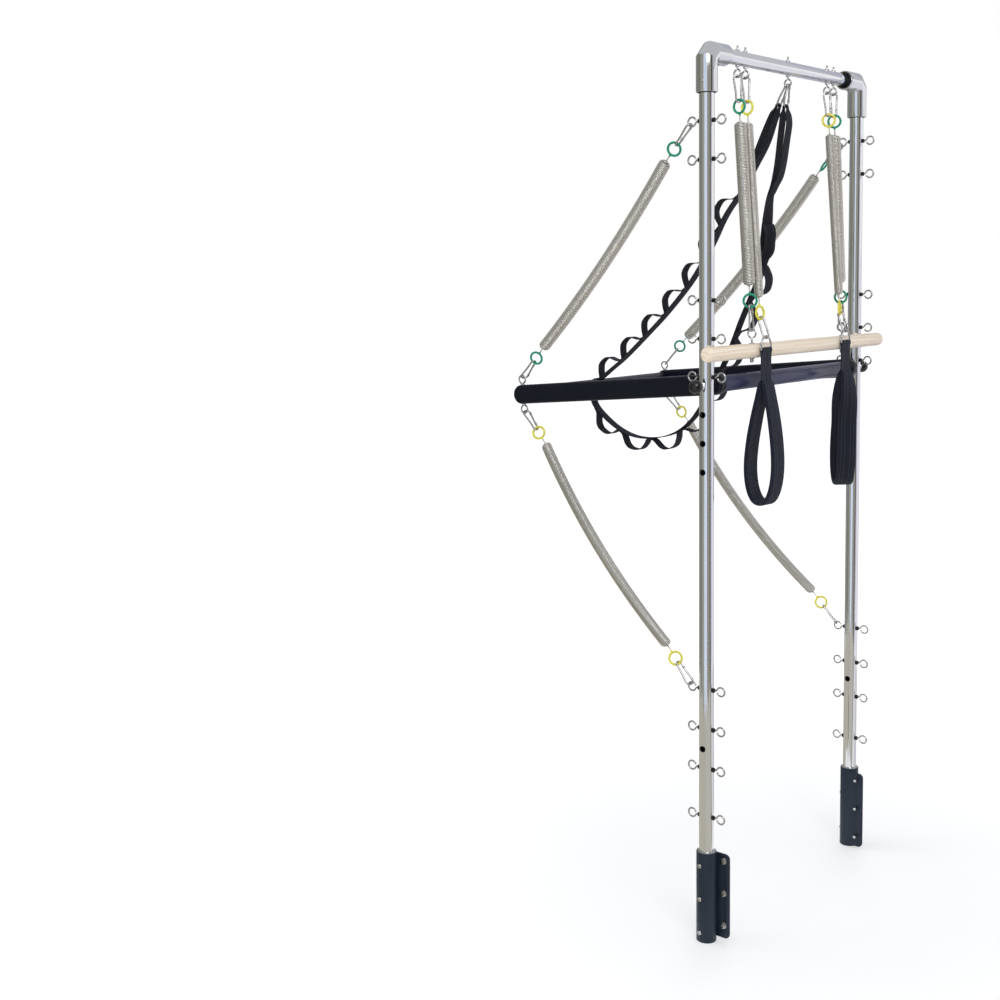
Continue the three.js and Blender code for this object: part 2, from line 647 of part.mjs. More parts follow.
// A wound spring with a coated ring at both ends, all one wire
function spring(near, far, radius, curls) {
  const from = near.springEnd;
  const to = far.springEnd;
  const { along, across, normal } = linkFrame(from, to);
  const length = from.distanceTo(to);
  const stub = 2 * SPRING_WIRE;
  const steps = curls * STEPS_PER_CURL;
  const ramp = STEPS_PER_CURL / 2;
  const at = (distance, out, angle) => from.clone()
    .addScaledVector(along, distance)
    .addScaledVector(across, out * Math.cos(angle))
    .addScaledVector(normal, out * Math.sin(angle));
  const coil = [at(0, 0, 0), at(stub, 0, 0)];
  for (let i = 1; i < steps; i += 1) {
    const share = Math.min(1, i / ramp, (steps - i) / ramp);
    const out = radius * Math.sin((share * Math.PI) / 2);
    const angle = (2 * Math.PI * i) / STEPS_PER_CURL;
    coil.push(at(stub + ((length - 2 * stub) * i) / steps, out, angle));
  }
  coil.push(at(length - stub, 0, 0), at(length, 0, 0));
  noteGap(coil);
  const radii = [
    ...near.ring.map(() => RING_WIRE), ...coil.map(() => SPRING_WIRE), ...far.ring.map(() => RING_WIRE),
  ];
  return freeWire([...near.ring.toReversed(), ...coil, ...far.ring], radii, SPRING_SIDES);
}

// One sprung run between two eyes, hooked on at both ends
function springRun(from, to, fromRadius, toRadius, springRadius, curls) {
  const near = hookSet(from, to, fromRadius);
  const far = hookSet(to, from, toRadius);
  return { near, far, coil: spring(near, far, springRadius, curls) };
}

function pushRun(side, up) {
  const height = up > 0 ? UPPER_EYES_Z : LOWER_EYES_Z;
  const radius = up > 0 ? PUSH_UPPER_SPRING_RADIUS : PUSH_LOWER_SPRING_RADIUS;
  const post = point(-EYE_OFFSET, side * UPRIGHT_Y, height);
  const arm = onPushBar(-BAR_LENGTH, side * ARM_Y, up * BAR_EYE_HEIGHT);
  return springRun(post, arm, EYE_RADIUS, EYE_RADIUS, radius, PUSH_SPRING_CURLS);
}

function rollRun(side) {
  const top = point(0, side * HEAVY_EYE_Y, CROSSBAR_EYE_Z);
  const bottom = point(WOOD_X, side * WOOD_EYE_Y, WOOD_Z + WOOD_EYE_RISE);
  return springRun(top, bottom, CROSSBAR_EYE_RADIUS, EYE_RADIUS, HEAVY_SPRING_RADIUS, HANGING_SPRING_CURLS);
}

// Roll-down bar
function woodBar() {
  const half = WOOD_LENGTH / 2;
  const flat = WOOD_RADIUS - WOOD_ROUNDING;
  const profile = [[0, 0]];
  for (let i = 0; i <= WOOD_ROUNDING_STEPS; i += 1) {
    const angle = (Math.PI / 2) * (i / WOOD_ROUNDING_STEPS);
    profile.push([flat + WOOD_ROUNDING * Math.sin(angle), WOOD_ROUNDING * (1 - Math.cos(angle))]);
  }
  const mirrored = profile.toReversed().map(([radius, distance]) => [radius, WOOD_LENGTH - distance]);
  const bar = turned([...profile, ...mirrored], point(WOOD_X, WOOD_SHIFT - half, WOOD_Z), AXIS_Y, TUBE_SIDES);
  const reach = WOOD_RADIUS + OVERRUN;
  return drilled(bar, SIDES.map((side) => bore(
    point(WOOD_X, side * WOOD_EYE_Y, WOOD_Z - reach), point(WOOD_X, side * WOOD_EYE_Y, WOOD_Z + reach),
    EYE_WIRE, HOLE_SIDES)));
}

function woodEyebolt(side) {
  const shank = WOOD_EYE_RISE + WOOD_RADIUS + WOOD_THREAD_TIP;
  return eyebolt(point(WOOD_X, side * WOOD_EYE_Y, WOOD_Z + WOOD_EYE_RISE), point(0, 0, -1), EYE_RADIUS, shank);
}

// Strap handle: clip, spring, leaning clip, dee ring and padded loop, hung in front of the roll-down bar
function handleRun(side) {
  const y = side * LIGHT_EYE_Y;
  const top = point(0, y, CROSSBAR_EYE_Z);
  const lean = rad(HANDLE_CLIP_LEAN_DEGREES);
  const clipWay = point(Math.sin(lean), 0, -Math.cos(lean));
  const clipSide = point(Math.cos(lean), 0, Math.sin(lean));
  const deeBar = point(DEE_X, y, DEE_BAR_Z);
  const deeTop = point(DEE_X, y, DEE_BAR_Z + DEE_HEIGHT);
  const clipNose = deeTop.clone().addScaledVector(clipWay, DEE_WIRE + CLIP_WIRE + FIT - HANDLE_CLIP_LENGTH);
  const { along, normal } = linkFrame(top, clipNose);
  const ringCentre = clipNose.clone().addScaledVector(along, CLIP_WIRE + RING_WIRE + FIT - RING_RADIUS);
  const far = {
    ring: eyePath(ringCentre, along.clone().negate(), normal, RING_RADIUS, RING_WIRE),
    clip: clipLoop(
      clipNose, clipWay, clipSide, HANDLE_CLIP_LENGTH, HANDLE_CLIP_HALF_WIDTH, HANDLE_CLIP_HALF_WIDTH),
    springEnd: ringCentre.clone().addScaledVector(along, -RING_RADIUS - RING_STEM),
  };
  const near = hookSet(top, ringCentre, CROSSBAR_EYE_RADIUS);
  return {
    near,
    far,
    dee: deeRing(deeBar, AXIS_Z, AXIS_Y),
    coil: spring(near, far, LIGHT_SPRING_RADIUS, HANGING_SPRING_CURLS),
  };
}

function deeRing(bar, up, across) {
  const at = (rise, aside) => bar.clone().addScaledVector(up, rise).addScaledVector(across, aside);
  const half = DEE_OUTLINE_SHARES.map(([rise, aside]) => [rise * DEE_HEIGHT, aside * DEE_HALF_WIDTH]);
  const points = [
    ...half.map(([rise, aside]) => at(rise, aside)),
    at(DEE_HEIGHT, 0),
    ...half.toReversed().map(([rise, aside]) => at(rise, -aside)),
  ];
  return flatWire(points, DEE_WIRE, WIRE_SIDES, up.clone().cross(across), true);
}

// Half of the handle's band, from the dee ring's bar down to the foot of the loop
function handleHalf() {
  const wrap = DEE_WIRE + FIT + WEBBING_THICKNESS / 2;
  const layer = (WEBBING_THICKNESS + NECK_GAP) / 2;
  const web = { width: NECK_WIDTH, thickness: WEBBING_THICKNESS };
  const pad = { width: PAD_WIDTH, thickness: PAD_THICKNESS };
  const neck = [
    { aside: wrap * Math.SQRT1_2, drop: -wrap * Math.SQRT1_2, ...web },
    { aside: wrap, drop: 0, ...web },
    { aside: layer, drop: wrap * 2, ...web },
    { aside: layer, drop: NECK_LENGTH, ...web },
  ];
  const clear = (PAD_THICKNESS + NECK_GAP) / 2;
  const loop = LOOP_OUTLINE_SHARES.map(([aside, drop]) => ({
    aside: aside > 0 ? Math.max(clear, aside * LOOP_HALF_WIDTH) : 0,
    drop: NECK_LENGTH + drop * LOOP_HEIGHT,
    ...pad,
  }));
  return [...neck, ...loop];
}

function handleBand(side, twistDegrees) {
  const half = handleHalf();
  const wrap = DEE_WIRE + FIT + WEBBING_THICKNESS / 2;
  const top = { ...half[0], aside: 0, drop: -wrap };
  const otherHalf = half.slice(0, -1).map((station) => ({ ...station, aside: -station.aside }));
  const stations = [top, ...half, ...otherHalf.toReversed()];
  const flat = stations.map(({ aside, drop }) => point(aside, 0, -drop));
  const ways = tangents(flat, true);
  const rings = stations.map(({ aside, drop, width, thickness }, i) => {
    const share = THREE.MathUtils.smoothstep((drop - NECK_LENGTH) / LOOP_HEIGHT, 0, 1);
    const shift = LOOP_SHIFT * share;
    const turnShare = THREE.MathUtils.smoothstep((drop - NECK_LENGTH / 2) / LOOP_HEIGHT, 0, 1 / 2);
    const turn = rad(twistDegrees) * turnShare;
    const outward = point(-ways[i].z, 0, ways[i].x);
    return [[1, 1], [-1, 1], [-1, -1], [1, -1]].map(([u, v]) => point(aside, 0, -drop)
      .addScaledVector(outward, (u * thickness) / 2)
      .addScaledVector(AXIS_Y, (v * width) / 2)
      .applyAxisAngle(AXIS_Z, turn)
      .add(point(DEE_X + shift, side * LIGHT_EYE_Y, DEE_BAR_Z)));
  });
  return loft(rings, true);
}

// Ladder strap: a webbing strip hung from two clips in the middle eye, over the swing end of the bar
function strapClipAt(index) {
  const spread = rad(index === 0 ? STRAP_CLIP_SPREAD_DEGREES : -STRAP_CLIP_SPREAD_DEGREES);
  const lean = rad(STRAP_CLIP_LEAN_DEGREES[index]);
  const seat = CROSSBAR_EYE_RADIUS - EYE_WIRE - CLIP_WIRE - FIT;
  const nose = point(STRAP_CLIP_SIDE * seat * Math.sin(spread), 0, CROSSBAR_EYE_Z - seat * Math.cos(spread));
  const along = point(STRAP_CLIP_SIDE * Math.sin(lean), 0, -Math.cos(lean));
  return { nose, along, foot: nose.clone().addScaledVector(along, STRAP_CLIP_LENGTH) };
}

function strapClip(index) {
  const { nose, along } = strapClipAt(index);
  return clipLoop(nose, along, AXIS_Y, STRAP_CLIP_LENGTH, CLIP_WIDE_HALF, CLIP_NARROW_HALF);
}

// The strap's free route as shares of the bar's length and of the height from pivot to crossbar eyes
const FALLING_SHARES = [
  [-0.197, 0.662], [-0.294, 0.566], [-0.371, 0.455], [-0.47, 0.335], [-0.6, 0.22],
  [-0.72, 0.13], [-0.84, 0.045], [-0.925, -0.006],
];
const RISING_SHARES = [
  [-1.03, -0.108], [-1.012, -0.147], [-0.948, -0.193], [-0.877, -0.229], [-0.796, -0.252], [-0.71, -0.257],
  [-0.617, -0.245], [-0.54, -0.22], [-0.476, -0.18], [-0.428, -0.132], [-0.365, -0.056], [-0.313, 0.023],
  [-0.264, 0.104], [-0.22, 0.188], [-0.175, 0.266], [-0.137, 0.333], [-0.112, 0.408], [-0.101, 0.478],
  [-0.092, 0.549], [-0.082, 0.614],
];
// The legs of its two end loops, as shares of the way from a clip's foot to the sewn end and of the spread
const FIRST_OUTER_LEG_SHARES = [[0.73, 0.41], [0.38, 0.61], [0.17, 0.53]];
const FIRST_INNER_LEG_SHARES = [[0.15, -0.45], [0.37, -0.77], [0.69, -0.39]];
const SECOND_INNER_LEG_SHARES = [[0.82, -0.32], [0.61, -0.35], [0.38, -0.09], [0.14, 0.16]];
const SECOND_OUTER_LEG_SHARES = [[0.07, -0.82], [0.17, -1.37], [0.35, -1.43], [0.57, -1.57], [0.89, -0.55]];
const BAR_WRAP_DEGREES = [70, 100, 130, 160, 188];
const HOOK_WRAP_DEGREES = [195, 160, 125, 90, 55, 20, -15];

function strapSpot([xShare, zShare]) {
  return point(xShare * BAR_LENGTH, 0, PIVOT_Z + zShare * (CROSSBAR_EYE_Z - PIVOT_Z));
}

function legSpots(foot, sewn, shares) {
  const down = sewn.clone().sub(foot);
  const aside = point(down.z, 0, -down.x).normalize();
  return shares.map(([drop, spread]) => foot.clone()
    .addScaledVector(down, drop)
    .addScaledVector(aside, spread * STRAP_LEG_SPREAD));
}

function wrapRound(centre, radius, degrees) {
  return degrees.map((angle) => point(
    centre.x + radius * Math.cos(rad(angle)), 0, centre.z + radius * Math.sin(rad(angle))));
}

function strapRoute() {
  const [firstFoot, secondFoot] = [0, 1].map((index) => strapClipAt(index).foot);
  const hook = CLIP_WIRE + 3 * FIT + STRAP_BUNCH_THICKNESS / 2;
  const bar = onPushBar(-BAR_LENGTH, 0, 0);
  const round = CROSS_TUBE_OD / 2 + FIT + STRAP_THICKNESS;
  const main = [
    ...FALLING_SHARES.map(strapSpot),
    ...wrapRound(bar, round, BAR_WRAP_DEGREES),
    ...RISING_SHARES.map(strapSpot),
  ];
  const start = [
    ...legSpots(firstFoot, main[0], FIRST_OUTER_LEG_SHARES),
    ...wrapRound(firstFoot, hook, HOOK_WRAP_DEGREES),
    ...legSpots(firstFoot, main[0], FIRST_INNER_LEG_SHARES),
  ];
  const end = [
    ...legSpots(secondFoot, main.at(-1), SECOND_INNER_LEG_SHARES),
    ...wrapRound(secondFoot, hook, HOOK_WRAP_DEGREES),
    ...legSpots(secondFoot, main.at(-1), SECOND_OUTER_LEG_SHARES),
  ];
  return { start, main, end };
}

function strapRing(spot, way, width, thickness, twist, lift) {
  const normal = point(way.z, 0, -way.x);
  const broad = AXIS_Y.clone().multiplyScalar(Math.cos(twist)).addScaledVector(normal, Math.sin(twist));
  const deep = normal.clone().multiplyScalar(Math.cos(twist)).addScaledVector(AXIS_Y, -Math.sin(twist));
  return [[1, 1], [-1, 1], [-1, -1], [1, -1]].map(([u, v]) => spot.clone()
    .addScaledVector(deep, lift + (u * thickness) / 2)
    .addScaledVector(broad, (v * width) / 2));
}

// The riser turns to face the end of the bed, most of all halfway up
function riserTwist(index, first, last) {
  if (index < first) {
    return 0;
  }
  return rad(RISER_TWIST_DEGREES) * Math.sin((Math.PI * (index - first)) / (last - first));
}

function bandAlong(points, twistOf) {
  const ways = tangents(points, false);
  const feet = [0, 1].map((index) => strapClipAt(index).foot);
  const hook = CLIP_WIRE + FIT + STRAP_BUNCH_THICKNESS;
  const rings = points.map((spot, i) => {
    const near = Math.min(...feet.map((foot) => foot.distanceTo(spot)));
    const share = THREE.MathUtils.smoothstep(near, hook, hook + STRAP_SPREAD);
    const width = THREE.MathUtils.lerp(STRAP_BUNCH_WIDTH, STRAP_WIDTH, share);
    const thickness = THREE.MathUtils.lerp(STRAP_BUNCH_THICKNESS, STRAP_THICKNESS, share);
    return strapRing(spot, ways[i], width, thickness, twistOf(i), 0);
  });
  return loft(rings, false);
}

// The strap and its two end loops, sewn into one piece with the row of loops on its outer face
function ladderStrap() {
  const { start, main, end } = strapRoute();
  const riserFirst = main.length - RISING_SHARES.length * RISER_TWISTED_SHARE;
  const parts = [
    bandAlong([...main, ...end], (i) => (i < main.length ? riserTwist(i, riserFirst, main.length) : 0)),
    bandAlong([...start, main[0], main[1]], () => 0),
    ...strapLoops(),
  ];
  return toGeometry(parts.map(toSolid).reduce((whole, part) => whole.add(part)));
}

// The sewn-on loops, one after another along the outer face of the strap
function strapLoops() {
  const { main } = strapRoute();
  const marks = main.map((_, i) => (i === 0 ? 0 : main[i].distanceTo(main[i - 1])));
  marks.forEach((step, i) => { marks[i] = i === 0 ? 0 : marks[i - 1] + step; });
  const ways = tangents(main, false);
  const twistFirst = main.length - RISING_SHARES.length * RISER_TWISTED_SHARE;
  const place = (distance) => {
    const i = Math.min(main.length - 2, Math.max(0, marks.findIndex((mark) => mark > distance) - 1));
    const share = (distance - marks[i]) / (marks[i + 1] - marks[i]);
    return {
      spot: main[i].clone().lerp(main[i + 1], share),
      way: ways[i].clone().lerp(ways[i + 1], share).normalize(),
      twist: riserTwist(i + share, twistFirst, main.length),
    };
  };
  const barMark = marks[FALLING_SHARES.length + Math.floor(BAR_WRAP_DEGREES.length / 2)];
  const row = (first, pitch, last) => Array.from({ length: LADDER_LOOP_COUNT }, (_, i) => first + i * pitch)
    .map((start) => ({ start, chord: pitch * LADDER_LOOP_CHORD_SHARE }))
    .filter(({ start, chord }) => start + chord < last);
  const upper = row(LADDER_FIRST, LADDER_PITCH, barMark);
  const lower = row(barMark + LADDER_LOWER_FIRST, LADDER_LOWER_PITCH, marks.at(-1));
  return [...upper, ...lower].map(({ start, chord }) => {
    const rings = LADDER_LOOP_SHARES.map(([along, rise]) => {
      const { spot, way, twist } = place(start + chord * along);
      const lift = STRAP_THICKNESS * LADDER_SEAT_SHARE + LADDER_LOOP_HEIGHT * rise;
      return strapRing(spot, way, STRAP_WIDTH, STRAP_THICKNESS, twist, lift);
    });
    return loft(rings, false);
  });
}

// Assembly
const tower = new THREE.Group();

function place(name, geometry, material, parent = tower) {
  geometry.computeVertexNormals();
  const mesh = new THREE.Mesh(geometry, material);
  mesh.name = name;
  parent.add(mesh);
  return mesh;
}

SIDES.forEach((side) => {
  const hand = handOf(side);
  place(`${hand}_upright`, upright(side), chrome);
  place(`${hand}_elbow`, elbow(side), castAlloy);
  place(`${hand}_socket`, socketBracket(side), slateCoat);
  place(`${hand}_upright_upper_eyebolt`, uprightEyebolt(side, UPPER_EYES_Z), zinc);
  place(`${hand}_upright_lower_eyebolt`, uprightEyebolt(side, LOWER_EYES_Z), zinc);
});
place('crossbar', crossbar(), chrome);
['left_roll', 'left_handle', 'middle', 'right_handle', 'right_roll'].forEach((name, i) => {
  place(`crossbar_${name}_eyebolt`, crossbarEyebolt(CROSSBAR_EYES_Y[i]), zinc);
});

const pushBar = new THREE.Group();
pushBar.position.copy(PIVOT);
pushBar.rotation.y = -rad(BAR_TILT_DEGREES);
tower.add(pushBar);
place('push_bar_swing_tube', crossTube(-BAR_LENGTH), navyCoat, pushBar);
place('push_bar_pivot_tube', crossTube(0), navyCoat, pushBar);
SIDES.forEach((side) => {
  const hand = handOf(side);
  place(`push_bar_${hand}_arm`, pushArm(side), navyCoat, pushBar);
  place(`push_bar_${hand}_eyebolt`, armEyebolt(side), zinc, pushBar);
  place(`${hand}_pull_pin`, pullPin(side), chrome);
  place(`${hand}_pin_knob`, pinKnob(side), glossBlack);
  [1, -1].forEach((up) => {
    const level = up > 0 ? 'upper' : 'lower';
    const run = pushRun(side, up);
    place(`${hand}_${level}_upright_clip`, run.near.clip, zinc);
    place(`${hand}_${level}_push_spring`, run.coil, springSteel);
    place(`${hand}_${level}_push_bar_clip`, run.far.clip, zinc);
  });
});

place('roll_down_bar', woodBar(), beech);
SIDES.forEach((side) => {
  const hand = handOf(side);
  const run = rollRun(side);
  place(`roll_down_${hand}_top_clip`, run.near.clip, zinc);
  place(`roll_down_${hand}_spring`, run.coil, springSteel);
  place(`roll_down_${hand}_low_clip`, run.far.clip, zinc);
  place(`roll_down_${hand}_eyebolt`, woodEyebolt(side), zinc);
});

SIDES.forEach((side) => {
  const hand = handOf(side);
  const run = handleRun(side);
  const twist = side < 0 ? LEFT_LOOP_TWIST_DEGREES : RIGHT_LOOP_TWIST_DEGREES;
  place(`${hand}_handle_top_clip`, run.near.clip, zinc);
  place(`${hand}_handle_spring`, run.coil, springSteel);
  place(`${hand}_handle_low_clip`, run.far.clip, zinc);
  place(`${hand}_handle_dee_ring`, run.dee, zinc);
  place(`${hand}_handle_loop`, handleBand(side, twist), padding);
});

place('strap_first_clip', strapClip(0), zinc);
place('strap_second_clip', strapClip(1), zinc);
place('ladder_strap', ladderStrap(), webbing);

console.log(`least gap within a spring: ${leastGap.toFixed(2)} mm, wanted over ${LEAST_SPRING_GAP}`);

export default tower;
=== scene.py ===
import math

import bpy
from bpy.props import FloatProperty, FloatVectorProperty, IntProperty, PointerProperty
from mathutils import Matrix, Vector


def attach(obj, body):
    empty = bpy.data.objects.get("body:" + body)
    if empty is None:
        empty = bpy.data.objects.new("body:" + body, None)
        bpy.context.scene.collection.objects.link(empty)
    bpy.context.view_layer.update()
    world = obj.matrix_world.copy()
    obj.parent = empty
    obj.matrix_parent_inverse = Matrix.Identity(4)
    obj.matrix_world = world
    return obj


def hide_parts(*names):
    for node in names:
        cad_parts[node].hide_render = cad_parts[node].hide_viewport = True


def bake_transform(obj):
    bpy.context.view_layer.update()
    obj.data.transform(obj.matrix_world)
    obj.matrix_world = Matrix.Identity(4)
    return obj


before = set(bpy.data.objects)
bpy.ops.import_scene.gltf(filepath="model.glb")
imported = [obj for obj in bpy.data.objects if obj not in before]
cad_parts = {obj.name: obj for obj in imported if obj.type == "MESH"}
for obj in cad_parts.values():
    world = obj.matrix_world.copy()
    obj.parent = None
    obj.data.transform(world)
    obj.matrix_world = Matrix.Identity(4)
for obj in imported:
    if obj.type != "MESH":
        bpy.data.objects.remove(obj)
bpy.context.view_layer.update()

bl_info = {
    "name": "Pilates tower",
    "version": (1, 0, 0),
    "blender": (4, 5, 0),
    "location": "View3D > Sidebar > Tower",
    "description": "Models and finishes the pieces of a sprung pilates tower",
    "category": "Object",
}

LEFT, RIGHT = -1, 1
SIDES = (LEFT, RIGHT)
HAND = {LEFT: "left", RIGHT: "right"}
AXIS_X, AXIS_Y, AXIS_Z = Vector((1, 0, 0)), Vector((0, 1, 0)), Vector((0, 0, 1))
FINISHES = {}
BAR_TILT = math.radians(4.8)
TUBE_WALL = 0.0025
FIT = 0.0003
TUBE_SETBACK = 0.0273  # From an elbow's corner to the end of a tube inside it
EYE_WIRE = 0.002
PIN_HOLE_PITCH = 0.061
PIN_HOLE_COUNT = 4
LOW_PIN_HOLE_Z = 0.433
EYE_HEIGHTS = (1.766, 1.687, 1.396, 1.3155, 1.235, 0.562, 0.474, 0.386, 0.279)
CARRYING_EYES = {0: "upper", 5: "lower"}  # The eyebolts that the CAD has, by their place in EYE_HEIGHTS
ROLL_DOWN_Y = 0.213
HANDLE_Y = 0.1815
CROSSBAR_EYES = {
    "left_roll": -ROLL_DOWN_Y, "left_handle": -HANDLE_Y, "middle": 0.0, "right_handle": HANDLE_Y,
    "right_roll": ROLL_DOWN_Y}
ARM_EYE_RISE = 0.013  # From an arm's edge to the centre of the eye on it


# Sizes and colours

def length(name, description, default):
    return FloatProperty(name=name, description=description, default=default, unit="LENGTH", min=0.0, precision=4)


def colour(name, description, default):
    return FloatVectorProperty(
        name=name, description=description, default=default, subtype="COLOR", size=3, min=0.0, max=1.0)


class TowerSizes(bpy.types.PropertyGroup):
    """Sizes of the tower's pieces."""

    upright_y: length("Upright offset", "From the middle of the tower to an upright's axis", 0.332)
    upright_radius: length("Upright radius", "Radius of the upright tubes", 0.016)
    crossbar_radius: length("Crossbar radius", "Radius of the crossbar tube", 0.015)
    crossbar_z: length("Crossbar height", "Height of the crossbar's axis", 1.905)
    elbow_radius: length("Elbow radius", "Outer radius of the cast elbows", 0.0225)
    elbow_drop: length("Elbow drop", "From the corner to the lower mouth", 0.082)
    elbow_reach: length("Elbow reach", "From the corner to the crossbar's mouth", 0.067)
    elbow_cut: length("Elbow cut", "From the corner to each mitre, along the axes", 0.015)
    socket_radius: length("Socket radius", "Outer radius of the sockets", 0.022)
    socket_height: length("Socket height", "Height of the sockets", 0.202)
    flange_reach: length("Flange reach", "From the upright's axis to the flange's edge", 0.047)
    eye_radius: length("Eye radius", "Mean radius of the large eyes", 0.0095)
    eye_offset: length("Eye offset", "From the upright's axis to an eye's centre", 0.036)
    crossbar_eye_radius: length("Crossbar eye radius", "Mean radius of the eyes under the crossbar", 0.008)
    crossbar_eye_z: length("Crossbar eye height", "Height of the eyes under the crossbar", 1.873)
    pivot_z: length("Pivot height", "Height of the push-through bar's pivot", 1.217)
    bar_length: length("Arm length", "From the pivot to the swing tube", 0.538)
    arm_y: length("Arm offset", "From the middle to an arm's mid-plane", 0.297)
    arm_height: length("Arm height", "Height of an arm's section", 0.045)
    arm_thickness: length("Arm thickness", "Thickness of an arm", 0.025)
    cross_tube_radius: length("Cross tube radius", "Radius of the swing and pivot tubes", 0.0175)
    wood_radius: length("Roll-down bar radius", "Radius of the wooden bar", 0.016)
    wood_length: length("Roll-down bar length", "Length of the wooden bar", 0.776)
    wood_z: length("Roll-down bar height", "Height of the wooden bar's axis", 1.285)
    knob_radius: length("Knob radius", "Radius of the ball knobs", 0.015)
    coil_pitch: length("Coil pitch", "From one turn of a spring to the next", 0.0032)
    strap_width: length("Strap width", "Width of the ladder strap", 0.027)
    neck_width: length("Neck width", "Width of a handle's neck", 0.037)
    pad_width: length("Pad width", "Width of a handle's padded loop", 0.043)
    round_steps: IntProperty(name="Round steps", description="Sides of the round pieces", default=64, min=12)


class TowerColours(bpy.types.PropertyGroup):
    """Colours of the tower's finishes."""

    chrome: colour("Chrome", "Plated tubes", (0.80, 0.81, 0.83))
    alloy: colour("Cast alloy", "Polished elbows", (0.74, 0.75, 0.77))
    zinc: colour("Zinc", "Eyebolts, clips and screws", (0.57, 0.565, 0.56))
    spring: colour("Spring wire", "Nickel-plated springs", (0.76, 0.735, 0.68))
    slate: colour("Slate coat", "Powder coat of the sockets", (0.016, 0.026, 0.043))
    navy: colour("Navy coat", "Powder coat of the push-through bar", (0.0028, 0.0044, 0.0125))
    # A lighter copy of the navy coat, which paints the highlight on the pivot tube.
    painted_highlight_navy: colour("Lit navy coat", "Glossier coat of the pivot tube", (0.042, 0.047, 0.096))
    green: colour("Green ring", "Coated rings of the heavy springs", (0.0, 0.29, 0.15))
    yellow: colour("Yellow ring", "Coated rings of the light springs", (0.84, 0.74, 0.07))
    beech: colour("Beech", "Roll-down bar", (1.0, 0.85, 0.70))
    webbing: colour("Webbing", "Ladder strap and necks", (0.0058, 0.007, 0.0130))
    padding: colour("Padding", "Handle loops", (0.0078, 0.0105, 0.0225))
    black: colour("Black", "Knobs, liners and nuts", (0.008, 0.008, 0.010))


def sizes():
    return bpy.context.scene.tower_sizes


def colours():
    return bpy.context.scene.tower_colours


# Handling of objects

def deselect():
    bpy.ops.object.select_all(action="DESELECT")


def pick(piece, *others):
    deselect()
    for other in others:
        other.select_set(True)
    piece.select_set(True)
    bpy.context.view_layer.objects.active = piece
    return piece


def join(piece, *others):
    pick(piece, *others)
    bpy.ops.object.join()
    return piece


def apply_place(piece):
    pick(piece)
    bpy.ops.object.transform_apply(location=True, rotation=True, scale=True)
    return piece


def apply_modifier(piece, kind, **settings):
    pick(piece)
    modifier = piece.modifiers.new(kind.title(), kind)
    for key, value in settings.items():
        setattr(modifier, key, value)
    bpy.ops.object.modifier_apply(modifier=modifier.name)
    return piece


def round_edges(piece, width, segments=3, degrees=35):
    return apply_modifier(piece, "BEVEL", width=width, segments=segments, limit_method="ANGLE",
                          angle_limit=math.radians(degrees), use_clamp_overlap=True)


def smooth(piece, degrees=35):
    pick(piece)
    bpy.ops.object.shade_smooth_by_angle(angle=math.radians(degrees))
    return piece


def true_round(piece, y, radius):
    """Shades a standing tube's wall as truly round, also beside the holes cut into it."""
    mesh = piece.data
    spots = [vertex.co - Vector((0, y, vertex.co.z)) for vertex in mesh.vertices]
    ways = [(0.0, 0.0, 0.0)] * len(mesh.loops)
    for face in mesh.polygons:
        if all(abs(spots[k].length - radius) < 2e-5 for k in face.vertices):
            for loop, k in zip(face.loop_indices, face.vertices):
                ways[loop] = spots[k].normalized()
    mesh.normals_split_custom_set(ways)
    return piece


def cut(piece, *cutters):
    cutter = apply_place(join(*cutters) if len(cutters) > 1 else cutters[0])
    apply_modifier(piece, "BOOLEAN", operation="DIFFERENCE", object=cutter, solver="EXACT")
    bpy.data.objects.remove(cutter)
    return piece


def outward(piece):
    pick(piece)
    bpy.ops.object.mode_set(mode="EDIT")
    bpy.ops.mesh.select_all(action="SELECT")
    bpy.ops.mesh.remove_doubles(threshold=1e-6)
    bpy.ops.mesh.normals_make_consistent(inside=False)
    bpy.ops.object.mode_set(mode="OBJECT")
    return piece


def new_piece(name, data):
    piece = bpy.data.objects.new(name, data)
    bpy.context.collection.objects.link(piece)
    return piece


def copy_of(piece, matrix):
    twin = piece.copy()
    twin.data = piece.data.copy()
    bpy.context.collection.objects.link(twin)
    twin.matrix_world = matrix
    return apply_place(twin)


def settle(piece, name, body, finish, slot, *nodes):
    """Gives a piece its name, finish and body, and lets it stand for CAD nodes."""
    apply_place(piece)
    piece.name = name
    piece.data.name = name
    piece.data.materials.clear()
    piece.data.materials.append(FINISHES[finish])
    if body:
        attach(piece, body)
    if nodes:
        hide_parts(*nodes)
    return piece


def frame_of(spot, z_way, x_way):
    """A matrix that puts local Z along one direction and local X nearly along another."""
    z = z_way.normalized()
    x = (x_way - z * x_way.dot(z)).normalized()
    y = z.cross(x)
    return Matrix.Translation(spot) @ Matrix((x, y, z)).transposed().to_4x4()


def facing(spot, way):
    """A matrix that puts local Z along a way, with local X upright where the way is level."""
    way = Vector(way)
    return frame_of(Vector(spot), way, AXIS_Z if abs(way.z) < 0.9 else AXIS_X)


def bar_hang():
    """The push-through bar's own frame, which hangs down a little at rest."""
    return Matrix.Translation((0, 0, sizes().pivot_z)) @ Matrix.Rotation(-BAR_TILT, 4, "Y")


def rod(start, end, radius, sides=None):
    start, end = Vector(start), Vector(end)
    way = end - start
    deselect()
    bpy.ops.mesh.primitive_cylinder_add(
        vertices=sides or sizes().round_steps, radius=radius, depth=way.length, location=(start + end) / 2,
        rotation=way.to_track_quat("Z", "Y").to_euler())
    return apply_place(bpy.context.object)


